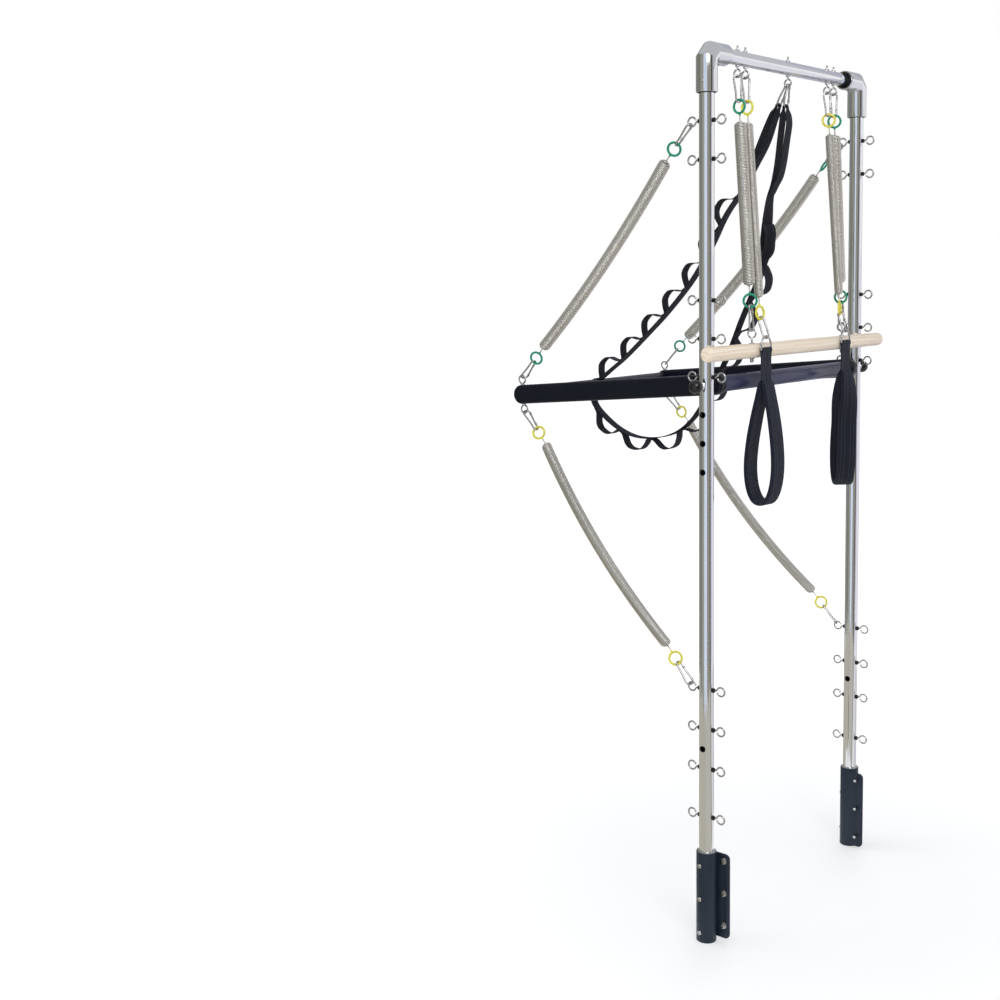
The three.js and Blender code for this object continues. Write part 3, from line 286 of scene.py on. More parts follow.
def lathe(profile, matrix, steps=48):
    """Turns a profile of (radius, height) pairs about local Z."""
    mesh = bpy.data.meshes.new("profile")
    spots = [(radius, 0, height) for radius, height in profile]
    mesh.from_pydata(spots, [(i, i + 1) for i in range(len(spots) - 1)], [])
    piece = new_piece("turned", mesh)
    apply_modifier(piece, "SCREW", steps=steps, render_steps=steps, axis="Z", use_merge_vertices=True,
                   merge_threshold=1e-6)
    outward(piece)
    piece.matrix_world = matrix
    return apply_place(piece)


def wire(points, radius, closed=False, detail=4):
    """A round wire along a line of points."""
    curve = bpy.data.curves.new("wire", "CURVE")
    curve.dimensions = "3D"
    curve.bevel_depth = radius
    curve.bevel_resolution = detail
    curve.use_fill_caps = not closed
    spline = curve.splines.new("POLY")
    spline.points.add(len(points) - 1)
    for i, spot in enumerate(points):
        spline.points[i].co = (*spot, 1)
        spline.points[i].radius = 1
    spline.use_cyclic_u = closed
    pick(new_piece("wire", curve))
    bpy.ops.object.convert(target="MESH")
    return smooth(outward(bpy.context.object), 60)


def curve_through(points, closed=False, steps=6):
    """A smooth line through a few points."""
    count = len(points)
    line = []
    for i in range(count if closed else count - 1):
        a, b, c, d = (points[(i + k) % count] if closed else points[min(max(i + k, 0), count - 1)]
                      for k in (-1, 0, 1, 2))
        for k in range(steps):
            t = k / steps
            line.append(0.5 * (2 * b + (c - a) * t + (2 * a - 5 * b + 4 * c - d) * t * t
                               + (3 * b - a - 3 * c + d) * t ** 3))
    if not closed:
        line.append(points[-1])
    return line


# Finishes

class Finish:
    """A material whose nodes are added one at a time."""

    def __init__(self, name, base, metallic=0.0, roughness=0.5):
        self.material = bpy.data.materials.new(name)
        self.material.use_nodes = True
        self.tree = self.material.node_tree
        self.shader = self.tree.nodes["Principled BSDF"]
        self.base = (*base, 1)
        self.set(Base_Color=self.base, Metallic=metallic, Roughness=roughness)
        self.coords = self.tree.nodes.new("ShaderNodeTexCoord")
        FINISHES[name] = self.material

    def set(self, **values):
        for key, value in values.items():
            self.shader.inputs[key.replace("_", " ")].default_value = value

    def feed(self, socket, value):
        """Links another node's output to a socket, or sets the socket to a plain value."""
        if isinstance(value, bpy.types.NodeSocket):
            self.tree.links.new(value, socket)
        else:
            socket.default_value = value

    def node(self, kind, **inputs):
        node = self.tree.nodes.new(kind)
        for key, value in inputs.items():
            self.feed(node.inputs[key.replace("_", " ")], value)
        return node

    def mapped(self, scale, source="Object"):
        return self.node("ShaderNodeMapping", Vector=self.coords.outputs[source], Scale=scale).outputs["Vector"]

    def noise(self, scale, detail, stretch=(1, 1, 1)):
        return self.node("ShaderNodeTexNoise", Vector=self.mapped(stretch), Scale=scale,
                         Detail=detail).outputs["Fac"]

    def wave(self, vector, scale, distortion, direction):
        node = self.node("ShaderNodeTexWave", Vector=vector, Scale=scale, Distortion=distortion)
        node.bands_direction = direction
        node.wave_profile = "SIN"
        return node.outputs["Fac"]

    def spread(self, value, low, high):
        return self.node("ShaderNodeMapRange", Value=value, From_Min=0.3, From_Max=0.7, To_Min=low,
                         To_Max=high).outputs["Result"]

    def math(self, operation, a, b=0.0):
        node = self.tree.nodes.new("ShaderNodeMath")
        node.operation = operation
        for socket, value in zip(node.inputs, (a, b)):
            self.feed(socket, value)
        return node.outputs["Value"]

    def blend(self, factor, first, second):
        node = self.tree.nodes.new("ShaderNodeMix")
        node.data_type = "RGBA"
        self.tree.links.new(factor, node.inputs[0])
        for socket, value in ((node.inputs[6], first), (node.inputs[7], second)):
            self.feed(socket, value)
        return node.outputs[2]

    def link(self, value, socket):
        self.tree.links.new(value, self.shader.inputs[socket])

    def bump(self, height, depth, strength=1.0):
        node = self.node("ShaderNodeBump", Height=height, Distance=depth, Strength=strength)
        self.link(node.outputs["Normal"], "Normal")

    def shades(self, factor, dark=0.85, light=1.1):
        """Varies the base colour between a darker and a lighter one."""
        self.link(self.blend(factor, [v * dark for v in self.base[:3]] + [1],
                             [min(1, v * light) for v in self.base[:3]] + [1]), "Base Color")


def metal_finish(name, base, low, high, depth, grain=260.0, dark=0.93, light=1.04):
    finish = Finish(name, base, 1.0)
    smudge = finish.noise(9.0, 4.0)
    finish.link(finish.spread(smudge, low, high), "Roughness")
    finish.shades(finish.noise(5.0, 2.0), dark, light)
    finish.bump(finish.noise(grain, 2.0), depth, 0.35)
    return finish


def coat_finish(name, base, roughness, peel, scratches=True, shine=0.28):
    finish = Finish(name, base, 0.0, roughness)
    finish.set(Specular_IOR_Level=shine)
    finish.link(finish.spread(finish.noise(14.0, 4.0), roughness * 0.8, roughness * 1.25), "Roughness")
    finish.shades(finish.noise(6.0, 3.0), 0.8, 1.25)
    height = finish.noise(peel, 2.0)
    if scratches:
        height = finish.math("ADD", height, finish.math("MULTIPLY", finish.noise(160.0, 3.0), 0.2))
    finish.bump(height, 0.00006, 0.4)
    return finish


def wood_finish(name, base):
    finish = Finish(name, base, 0.0, 0.42)
    finish.set(Coat_Weight=0.25, Coat_Roughness=0.2)
    growth = finish.noise(38.0, 3.0, (1, 0.06, 1))
    rings = finish.wave(finish.mapped((1, 0.08, 1)), 34.0, 9.0, "Z")
    flecks = finish.noise(420.0, 2.0, (1, 0.09, 1))
    tone = finish.math("ADD", finish.math("MULTIPLY", growth, 0.55), finish.math("MULTIPLY", rings, 0.3))
    tone = finish.math("ADD", tone, finish.math("MULTIPLY", flecks, 0.25))
    pale = [min(1, v * 1.06) for v in base] + [1]
    deep = [base[0] * 0.9, base[1] * 0.84, base[2] * 0.76, 1]
    finish.link(finish.blend(finish.spread(tone, 0.0, 1.0), pale, deep), "Base Color")
    finish.link(finish.spread(flecks, 0.36, 0.52), "Roughness")
    finish.bump(flecks, 0.00012, 0.5)
    return finish


def stitch_lines(finish, positions, half_width, pitch):
    """Dashed lines of thread at given places across a strap, as a factor and a height."""
    across = finish.node("ShaderNodeSeparateXYZ", Vector=finish.coords.outputs["UV"])
    lines = None
    for position in positions:
        near = finish.math("LESS_THAN", finish.math(
            "ABSOLUTE", finish.math("SUBTRACT", across.outputs["Y"], position)), half_width)
        lines = near if lines is None else finish.math("MAXIMUM", lines, near)
    dash = finish.math("LESS_THAN", finish.math(
        "FRACT", finish.math("DIVIDE", across.outputs["X"], pitch)), 0.68)
    return finish.math("MULTIPLY", lines, dash)


def fabric_finish(name, base, weave, lines, thread, rib=True):
    finish = Finish(name, base, 0.0, 0.72)
    finish.set(Sheen_Weight=0.1, Sheen_Roughness=0.4, Sheen_Tint=(0.5, 0.55, 0.85, 1), Specular_IOR_Level=0.3)
    along = finish.wave(finish.mapped((1, 0, 0), "UV"), weave, 0.6, "X")
    across = finish.wave(finish.mapped((0, 1, 0), "UV"), weave * (0.62 if rib else 1.0), 0.6, "Y")
    cloth = finish.math("MULTIPLY", along, across)
    wear = finish.noise(11.0, 4.0)
    seam = stitch_lines(finish, lines, 0.0007, 0.0052)
    dark = [v * 0.55 for v in base] + [1]
    light = [min(1, v * 1.9) for v in base] + [1]
    ground = finish.blend(finish.spread(finish.math("ADD", finish.math("MULTIPLY", cloth, 0.5),
                                                    finish.math("MULTIPLY", wear, 0.6)), 0.0, 1.0), dark, light)
    finish.link(finish.blend(seam, ground, (*thread, 1)), "Base Color")
    finish.link(finish.spread(wear, 0.62, 0.82), "Roughness")
    finish.bump(finish.math("ADD", cloth, finish.math("MULTIPLY", seam, 1.6)), 0.0006, 0.8)
    return finish


# Pieces that repeat

EYE_STEPS = 26
EYE_FROM, EYE_SWEEP = 20, 322  # Where the wire's bend begins and how far it goes round, in degrees


def eye_points(centre, way, radius):
    """The line of a wire bent into an eye, from its shank round to its open end."""
    side = AXIS_Y.cross(way).normalized()
    line = [centre + way * (radius + EYE_WIRE * 2.6),
            centre + way * (radius + EYE_WIRE * 1.5) + side * 0.0002]
    for i in range(EYE_STEPS + 1):
        angle = math.radians(EYE_FROM + EYE_SWEEP * i / EYE_STEPS)
        line.append(centre + way * radius * math.cos(angle) + side * radius * math.sin(angle))
    return line


def hex_nut(spot, way, across, height, hole=0.0021):
    """A chamfered hexagon nut with its face at a spot."""
    deselect()
    bpy.ops.mesh.primitive_cylinder_add(vertices=6, radius=across, depth=height, location=(0, 0, height / 2))
    nut = apply_place(bpy.context.object)
    deselect()
    bpy.ops.mesh.primitive_cylinder_add(vertices=24, radius=hole, depth=height * 3)
    cut(nut, bpy.context.object)
    round_edges(nut, height * 0.1, 2, 50)
    nut.matrix_world = facing(spot, way)
    return smooth(apply_place(nut), 30)


def washer(spot, way, radius, height, hole):
    profile = [(hole, 0), (radius * 0.94, 0), (radius, height * 0.3), (radius, height * 0.7),
               (radius * 0.94, height), (hole, height), (hole, 0)]
    return smooth(lathe(profile, facing(spot, way), 32))


def socket_screw(spot, way, radius, height):
    """A button screw with a hexagon recess, its head's foot at a spot."""
    profile = [(0, 0), (radius, 0), (radius, height * 0.55), (radius * 0.86, height * 0.9),
               (radius * 0.62, height), (0, height)]
    head = lathe(profile, Matrix(), 28)
    deselect()
    bpy.ops.mesh.primitive_cylinder_add(vertices=6, radius=radius * 0.5, depth=height,
                                        location=(0, 0, height * 0.95))
    cut(head, bpy.context.object)
    head.matrix_world = facing(spot, way)
    return smooth(apply_place(head), 30)


def hex_bolt(spot, way, radius, height, shank, shank_radius):
    """A flanged hexagon bolt with the foot of its head at a spot."""
    head = hex_nut((0, 0, 0), AXIS_Z, radius, height, radius * 0.2)
    flange = lathe([(0, -0.0011), (radius * 1.15, -0.0011), (radius * 1.15, -0.0002), (radius * 0.9, 0), (0, 0)],
                   Matrix(), 32)
    cap = lathe([(0, height * 0.2), (radius * 0.6, height * 0.2), (radius * 0.6, height), (0, height)], Matrix(), 24)
    stem = lathe([(0, -shank), (shank_radius * 0.8, -shank), (shank_radius, -shank + 0.0008),
                  (shank_radius, -0.0011), (0, -0.0011)], Matrix(), 20)
    join(head, flange, cap, stem)
    head.matrix_world = facing(spot, way)
    return smooth(apply_place(head), 30)


CLIP_WIRE = 0.0021
CLIP_REACH = 0.056
CLIP_SEAT = 0.0043  # From the inner edge of an eye to a clip's nose
CLIP_FOOT = 0.0048  # From a clip's far end to the ring's centre line in it


def clip_model(reach, wide, narrow):
    """A snap clip: nose at the origin, body down local -Z, width along local X, wide end at the nose."""
    outline = [(0, 0), (wide * 0.62, -wide * 0.16), (wide * 0.98, -wide * 0.75), (wide * 0.9, -wide * 1.7),
               (narrow * 1.05, -reach * 0.62), (narrow * 0.98, -reach + narrow * 0.85),
               (narrow * 0.62, -reach + narrow * 0.18), (0, -reach)]
    points = [Vector((x, 0, z)) for x, z in outline]
    points += [Vector((-x, 0, z)) for x, z in outline[-2:0:-1]]
    body = wire(curve_through(points, True, 5), CLIP_WIRE, True)
    gate_top = Vector((wide * 0.97, 0, -wide * 0.95))
    gate_foot = Vector((narrow * 1.06, 0, -reach * 0.7))
    sleeve = smooth(rod(gate_top, gate_top.lerp(gate_foot, 0.16), CLIP_WIRE * 1.32, 24), 30)
    hinge_half = Vector((0, CLIP_WIRE * 1.25, 0))
    hinge = smooth(rod(gate_foot - hinge_half, gate_foot + hinge_half, CLIP_WIRE * 0.9, 20), 30)
    collar = smooth(rod(gate_foot, gate_foot.lerp(gate_top, -0.16), CLIP_WIRE * 1.25, 24), 30)
    return join(body, sleeve, hinge, collar)


def spring_clip():
    return clip_model(CLIP_REACH, 0.0088, 0.0056)


def chain_frame(start, end):
    """Three ways at right angles: from one spot to another, nearly along Y, and across both."""
    along = (end - start).normalized()
    across = (AXIS_Y - along * AXIS_Y.dot(along)).normalized()
    return along, across, along.cross(across)


RING_RADIUS = 0.014
RING_WIRE = 0.0026
RING_STEM = 0.018
RING_STEP = CLIP_REACH - CLIP_FOOT + RING_RADIUS


class Hook:
    """Where the clip and the end ring of a spring lie, hung from one eye and pointing to another spot."""

    def __init__(self, eye, toward, eye_radius):
        along, self.across = chain_frame(eye, toward)[:2]
        self.nose = eye + along * (eye_radius - CLIP_SEAT)
        self.place_ring(self.nose + along * RING_STEP, along)

    def place_ring(self, ring, along):
        """The ring's centre, and from it the start of the stem and of the spring's body."""
        self.ring, self.along = ring, along
        self.stem = ring + along * (RING_RADIUS + RING_WIRE * 0.4)
        self.body = ring + along * (RING_RADIUS + RING_STEM)

    def turned(self, twist):
        return Matrix.Rotation(math.radians(twist), 3, self.along) @ self.across

    def clip(self, model, name, body, node, twist):
        piece = copy_of(model, frame_of(self.nose, -self.along, self.turned(twist)))
        return settle(piece, name, body, "zinc", "zinc_plate", node)

    def loop(self, name, body, finish, twist):
        """The coated ring, with the ferrule that its stem leaves by."""
        across = self.turned(twist)
        deselect()
        bpy.ops.mesh.primitive_torus_add(major_radius=RING_RADIUS, minor_radius=RING_WIRE, major_segments=56,
                                         minor_segments=14)
        ring = bpy.context.object
        ring.matrix_world = frame_of(self.ring, across, self.along)
        apply_place(ring)
        foot = self.ring + self.along * (RING_RADIUS - RING_WIRE * 0.2)
        ferrule = lathe([(0, 0), (RING_WIRE * 1.1, 0), (RING_WIRE * 0.95, 0.0035), (RING_WIRE * 0.55, 0.0065),
                         (0, 0.0065)], frame_of(foot, self.along, across), 20)
        return settle(smooth(join(ring, ferrule), 60), name, body, finish, "spring_steel")


TURN_SIDES = 16
TAPERED_TURNS = 2.5


def wound_spring(near, far, radius, thickness, sag, pitch):
    """A close-wound spring between two hooks, hanging slack by a little, with a stem at both ends."""
    start, end = near.body, far.body
    along, across, normal = chain_frame(start, end)
    reach = (end - start).length
    drop = (Vector((0, 0, -1)) + along * along.z)
    drop = drop.normalized() if drop.length > 0.02 else Vector((0, 0, 0))
    turns = round(reach / pitch)
    steps = turns * TURN_SIDES

    def middle(share):
        return start + along * reach * share + drop * sag * 4 * share * (1 - share)

    line = [near.stem, near.stem.lerp(start, 0.5)]
    for i in range(steps + 1):
        share = i / steps
        taper = min(1.0, i / (TURN_SIDES * TAPERED_TURNS), (steps - i) / (TURN_SIDES * TAPERED_TURNS))
        out = radius * math.sin(taper * math.pi / 2) ** 0.7
        angle = 2 * math.pi * i / TURN_SIDES
        line.append(middle(share) + across * out * math.cos(angle) + normal * out * math.sin(angle))
    line += [far.stem.lerp(end, 0.5), far.stem]
    return wire(line, thickness, False, 2)


# Straps

def band(stations, closed, corner):
    """A flat strap: each station is (spot, broad way, deep way, width, thickness). UV runs in metres."""
    section = []
    for sx, sy in ((1, 1), (-1, 1), (-1, -1), (1, -1)):
        for k in range(corner + 1):
            turn = k / corner * math.pi / 2
            if sx * sy < 0:
                turn = math.pi / 2 - turn
            section.append((sx, sy, math.cos(turn), math.sin(turn)))
    count = len(section)
    spots, run = [], [0.0]
    for i, (spot, broad, deep, width, thickness) in enumerate(stations):
        edge = thickness * 0.5
        for sx, sy, cx, cy in section:
            x = sx * (width / 2 - edge + edge * cx)
            y = sy * (thickness / 2 - edge * 0.9 + edge * 0.9 * cy)
            spots.append(spot + broad * x + deep * y)
        if i:
            run.append(run[-1] + (spot - stations[i - 1][0]).length)
    rings = len(stations)
    faces, marks = [], []
    for i in range(rings if closed else rings - 1):
        here, after = i * count, ((i + 1) % rings) * count
        far = run[i + 1] if i + 1 < rings else run[i] + (stations[0][0] - stations[i][0]).length
        for k in range(count):
            turn = (k + 1) % count
            faces.append((here + k, here + turn, after + turn, after + k))
            at = [section[j][0] * (stations[i][3] / 2) for j in (k, turn)]
            marks.append(((run[i], at[0]), (run[i], at[1]), (far, at[1]), (far, at[0])))
    if not closed:
        faces.append(tuple(range(count)))
        marks.append(tuple((run[0], section[j][0] * stations[0][3] / 2) for j in range(count)))
        tail = (rings - 1) * count
        faces.append(tuple(tail + j for j in reversed(range(count))))
        marks.append(tuple((run[-1], section[j][0] * stations[-1][3] / 2) for j in reversed(range(count))))
    mesh = bpy.data.meshes.new("band")
    mesh.from_pydata(spots, [], faces)
    layer = mesh.uv_layers.new(name="UVMap")
    for place, mark in zip(layer.data, (mark for face in marks for mark in face)):
        place.uv = mark
    piece = pick(new_piece("band", mesh))
    bpy.ops.object.mode_set(mode="EDIT")
    bpy.ops.mesh.select_all(action="SELECT")
    bpy.ops.mesh.normals_make_consistent(inside=False)
    bpy.ops.object.mode_set(mode="OBJECT")
    return smooth(piece, 50)


def ways_along(points, closed=False):
    """The direction of a line at each of its points."""
    count = len(points)
    ways = []
    for i in range(count):
        before = points[i - 1] if closed or i else points[0]
        after = points[(i + 1) % count] if closed or i < count - 1 else points[-1]
        ways.append((after - before).normalized())
    return ways


def ease(value, low, high):
    """Rises smoothly from 0 at low to 1 at high."""
    share = min(max((value - low) / (high - low), 0.0), 1.0)
    return share * share * (3 - 2 * share)


# Stage

# The photograph's frame and the camera solved from it: picture sizes in pixels, place in metres, turns in degrees
FRAME = 1000
FOCAL_LENGTH = 1378.27
PICTURE_CENTRE = (511.79, 415.76)
SENSOR = 36
CAMERA_PLACE = (1.5814, -2.7875, 1.4503)
CAMERA_AZIMUTH, CAMERA_PITCH, CAMERA_ROLL = 40.87, 5.754, -0.789
# Name, place, spot aimed at, size and power
LAMPS = (
    ("key", (2.6, -2.4, 3.6), (0, 0, 1.1), 2.2, 62), ("fill", (-3.2, -2.2, 2.6), (0, 0, 1.0), 2.6, 34),
    ("back", (-1.2, 3.4, 3.2), (0, 0, 1.2), 2.4, 30))
BOARD_DISTANCE = 5
FLOOR_BOARDS_FROM, FLOOR_BOARDS_TO = 0.42, 1.9
# Azimuth, half its spread, lower and upper edge and tone of the boards that the metal mirrors
BOARDS = (
    (157, 27, 0.0, 5.2, (0.30, 0.30, 0.28)), (210, 27, 0.0, 5.2, (0.24, 0.24, 0.21)),
    (253, 16, 0.0, 5.2, (0.38, 0.38, 0.32)), (287, 17, 0.0, 5.2, (0.76, 0.84, 1.0)),
    (325, 20, 0.0, 5.2, (0.33, 0.32, 0.28)), (353, 8, 0.0, 5.2, (0.07, 0.06, 0.055)),
    (10, 8, 0.0, 5.2, (0.48, 0.46, 0.52)), (49, 31, 0.0, 1.55, (0.86, 0.86, 0.92)),
    (49, 31, 2.75, 5.2, (0.60, 0.61, 0.64)), (104, 25, 0.0, 5.2, (0.50, 0.50, 0.58)))
# Azimuth, half its spread and tone of the boards that lie on the floor
FLOOR_BOARDS = (
    (172, 40, (0.52, 0.49, 0.41)), (250, 40, (0.52, 0.49, 0.41)), (320, 32, (0.55, 0.53, 0.47)),
    (0, 10, (0.40, 0.38, 0.35)), (28, 20, (0.80, 0.80, 0.82)), (63, 17, (0.66, 0.66, 0.70)),
    (102, 24, (0.52, 0.51, 0.53)), (131, 6, (0.20, 0.18, 0.16)))


class TOWER_OT_stage(bpy.types.Operator):
    """Sets the floor, the light and the camera"""

    bl_idname = "tower.stage"
    bl_label = "Stage"

    def execute(self, context):
        scene = context.scene
        scene.view_settings.view_transform = "Standard"
        self.floor()
        self.cards()
        self.lights()
        self.world(scene)
        self.camera(scene)
        return {"FINISHED"}

    def floor(self):
        deselect()
        bpy.ops.mesh.primitive_plane_add(size=60, location=(0, 0, -0.0006))
        floor = bpy.context.object
        floor.name = "floor"
        finish = Finish("floor", (0.8, 0.8, 0.8), 0.0, 0.9)
        finish.shades(finish.noise(0.8, 2.0), 0.98, 1.0)
        tree = finish.tree
        away = tree.nodes.new("ShaderNodeVectorMath")
        away.operation = "LENGTH"
        tree.links.new(finish.coords.outputs["Object"], away.inputs[0])
        strength = finish.node("ShaderNodeMapRange", Value=away.outputs["Value"], From_Min=0.4, From_Max=2.6,
                               To_Min=0.46, To_Max=0.74)
        glow = finish.node("ShaderNodeEmission", Color=(1, 1, 1, 1), Strength=strength.outputs["Result"])
        shade = finish.node("ShaderNodeBsdfDiffuse", Color=(0.58, 0.58, 0.58, 1))
        both = tree.nodes.new("ShaderNodeAddShader")
        tree.links.new(glow.outputs[0], both.inputs[0])
        tree.links.new(shade.outputs[0], both.inputs[1])
        path = tree.nodes.new("ShaderNodeLightPath")
        seen = finish.math("MAXIMUM", path.outputs["Is Camera Ray"], path.outputs["Is Glossy Ray"])
        seen = finish.math("MAXIMUM", seen, path.outputs["Is Transmission Ray"])
        mix = finish.node("ShaderNodeMixShader", Fac=seen)
        tree.links.new(finish.shader.outputs[0], mix.inputs[1])
        tree.links.new(both.outputs[0], mix.inputs[2])
        tree.links.new(mix.outputs[0], tree.nodes["Material Output"].inputs["Surface"])
        floor.data.materials.append(finish.material)

    def cards(self):
        """Boards round the tower, seen by reflections alone, that give the plated tubes their stripes."""
        for index, (azimuth, spread, low, high, tone) in enumerate(BOARDS):
            angle = math.radians(azimuth)
            deselect()
            bpy.ops.mesh.primitive_plane_add(
                size=1, rotation=(math.pi / 2, 0, angle + math.pi / 2),
                location=(BOARD_DISTANCE * math.cos(angle), BOARD_DISTANCE * math.sin(angle), (low + high) / 2))
            card = bpy.context.object
            card.scale = (2 * BOARD_DISTANCE * math.tan(math.radians(spread)), high - low, 1)
            self.make_card(apply_place(card), f"board_{index}", tone)
        deselect()
        bpy.ops.mesh.primitive_plane_add(size=14, location=(0, 0, 5.4))
        self.make_card(bpy.context.object, "board_above", (0.60, 0.61, 0.63))
        lying = [(azimuth, spread, FLOOR_BOARDS_FROM, FLOOR_BOARDS_TO, tone)
                 for azimuth, spread, tone in FLOOR_BOARDS]
        lying += [(azimuth, spread, FLOOR_BOARDS_TO, BOARD_DISTANCE, tone)
                  for azimuth, spread, low, high, tone in BOARDS if not low]
        for index, (azimuth, spread, near, far, tone) in enumerate(lying):
            middle, half = math.radians(azimuth), math.radians(spread)
            corners = [(reach / math.cos(half), middle + turn)
                       for reach, turn in ((near, -half), (far, -half), (far, half), (near, half))]
            spots = [(reach * math.cos(angle), reach * math.sin(angle), 0.0002) for reach, angle in corners]
            mesh = bpy.data.meshes.new("card")
            mesh.from_pydata(spots, [], [(0, 1, 2, 3)])
            self.make_card(new_piece("card", mesh), f"floor_board_{index}", tone)

    def make_card(self, card, name, tone):
        finish = Finish(name, tone, 0.0, 0.9)
        finish.set(Base_Color=(0, 0, 0, 1), Emission_Color=(*tone, 1), Emission_Strength=1.0,
                   Specular_IOR_Level=0.0)
        card.name = name
        card.data.materials.append(finish.material)
        card.visible_camera = False
        card.visible_shadow = False
        card.visible_diffuse = False

    def lights(self):
        for name, place, aim, size, power in LAMPS:
            data = bpy.data.lights.new(name, "AREA")
            data.shape = "SQUARE"
            data.size = size
            data.energy = power
            light = new_piece(name, data)
            light.location = place
            light.rotation_euler = (Vector(aim) - Vector(place)).to_track_quat("-Z", "Y").to_euler()
            light.visible_glossy = name == "key"

    def world(self, scene):
        world = scene.world or bpy.data.worlds.new("World")
        scene.world = world
        world.use_nodes = True
        tree = world.node_tree
        tree.nodes.clear()
        path = tree.nodes.new("ShaderNodeLightPath")
        shown = tree.nodes.new("ShaderNodeMath")
        shown.operation = "MAXIMUM"
        tree.links.new(path.outputs["Is Camera Ray"], shown.inputs[0])
        tree.links.new(path.outputs["Is Glossy Ray"], shown.inputs[1])
        clear = tree.nodes.new("ShaderNodeMath")
        clear.operation = "MAXIMUM"
        tree.links.new(shown.outputs[0], clear.inputs[0])
        tree.links.new(path.outputs["Is Transmission Ray"], clear.inputs[1])
        ambient = tree.nodes.new("ShaderNodeBackground")
        ambient.inputs["Color"].default_value = (0.93, 0.96, 1.0, 1)
        ambient.inputs["Strength"].default_value = 0.62
        white = tree.nodes.new("ShaderNodeBackground")
        white.inputs["Color"].default_value = (1, 1, 1, 1)
        white.inputs["Strength"].default_value = 1.0
        mix = tree.nodes.new("ShaderNodeMixShader")
        output = tree.nodes.new("ShaderNodeOutputWorld")
        tree.links.new(clear.outputs[0], mix.inputs[0])
        tree.links.new(ambient.outputs[0], mix.inputs[1])
        tree.links.new(white.outputs[0], mix.inputs[2])
        tree.links.new(mix.outputs[0], output.inputs["Surface"])

    def camera(self, scene):
        azimuth, pitch, roll = (math.radians(turn) for turn in (CAMERA_AZIMUTH, CAMERA_PITCH, CAMERA_ROLL))
        ahead = Vector((-math.sin(azimuth) * math.cos(pitch), math.cos(azimuth) * math.cos(pitch),
                        -math.sin(pitch)))
        right = ahead.cross(AXIS_Z).normalized()
        up = right.cross(ahead)
        tilted = right * math.cos(roll) + up * math.sin(roll)
        upward = up * math.cos(roll) - right * math.sin(roll)
        data = bpy.data.cameras.new("camera")
        data.sensor_width = SENSOR
        data.lens = FOCAL_LENGTH / FRAME * SENSOR
        data.shift_x = -(PICTURE_CENTRE[0] - FRAME / 2) / FRAME
        data.shift_y = (PICTURE_CENTRE[1] - FRAME / 2) / FRAME
        camera = new_piece("camera", data)
        turn = Matrix((tilted, upward, -ahead)).transposed().to_4x4()
        camera.matrix_world = Matrix.Translation(CAMERA_PLACE) @ turn
        scene.camera = camera


class TOWER_OT_finishes(bpy.types.Operator):
    """Makes the materials"""

    bl_idname = "tower.finishes"
    bl_label = "Finishes"

    def execute(self, context):
        tone = colours()
        # The chrome gets painted shade inside the uprights' bore.
        self.paint_bore_shade(metal_finish("chrome", tone.chrome, 0.05, 0.1, 0.00002))
        metal_finish("alloy", tone.alloy, 0.07, 0.13, 0.00003, 180.0, 0.9, 1.05)
        metal_finish("zinc", tone.zinc, 0.16, 0.3, 0.00004, 700.0, 0.75, 1.2)
        metal_finish("spring", tone.spring, 0.4, 0.5, 0.00002, 900.0, 0.88, 1.1)
        coat_finish("slate", tone.slate, 0.4, 900.0)
        coat_finish("navy", tone.navy, 0.3, 900.0)
        # Painted highlight: the pivot tube's lighter navy, a little less rough than the navy coat.
        coat_finish("painted_highlight_navy", tone.painted_highlight_navy, 0.24, 900.0)
        coat_finish("black_gloss", tone.black, 0.1, 500.0, False, 0.5)
        coat_finish("black_rubber", tone.black, 0.55, 1400.0, False)
        coat_finish("green_coat", tone.green, 0.3, 600.0, False, 0.5)
        coat_finish("yellow_coat", tone.yellow, 0.3, 600.0, False, 0.5)
        wood_finish("beech", tone.beech)
        width = sizes().strap_width
        fabric_finish("webbing", tone.webbing, 520.0, [-width * 0.36, width * 0.36], (0.05, 0.05, 0.06))
        pad = sizes().pad_width
        fabric_finish("padding", tone.padding, 430.0, [-pad * 0.42, -pad * 0.2, pad * 0.2, pad * 0.42],
                      (0.055, 0.062, 0.085), False)
        return {"FINISHED"}

    def paint_bore_shade(self, finish):
        """Paints shade inside the uprights: a near-black base colour within the bore, which also darkens any chrome
        lying there, such as the pull pins' shafts.
        """
        place = finish.node("ShaderNodeSeparateXYZ", Vector=finish.coords.outputs["Object"]).outputs
        aside = finish.math("SUBTRACT", finish.math("ABSOLUTE", place["Y"]), sizes().upright_y)
        reach = finish.math("ADD", finish.math("MULTIPLY", place["X"], place["X"]),
                            finish.math("MULTIPLY", aside, aside))
        inside = finish.math("LESS_THAN", reach, (sizes().upright_radius - 0.0005) ** 2)
        plated = finish.shader.inputs["Base Color"].links[0].from_socket
        # Painted shade: near-black base colour inside the bore.
        finish.link(finish.blend(inside, plated, (0.02, 0.02, 0.02, 1)), "Base Color")


# Operators for the pieces

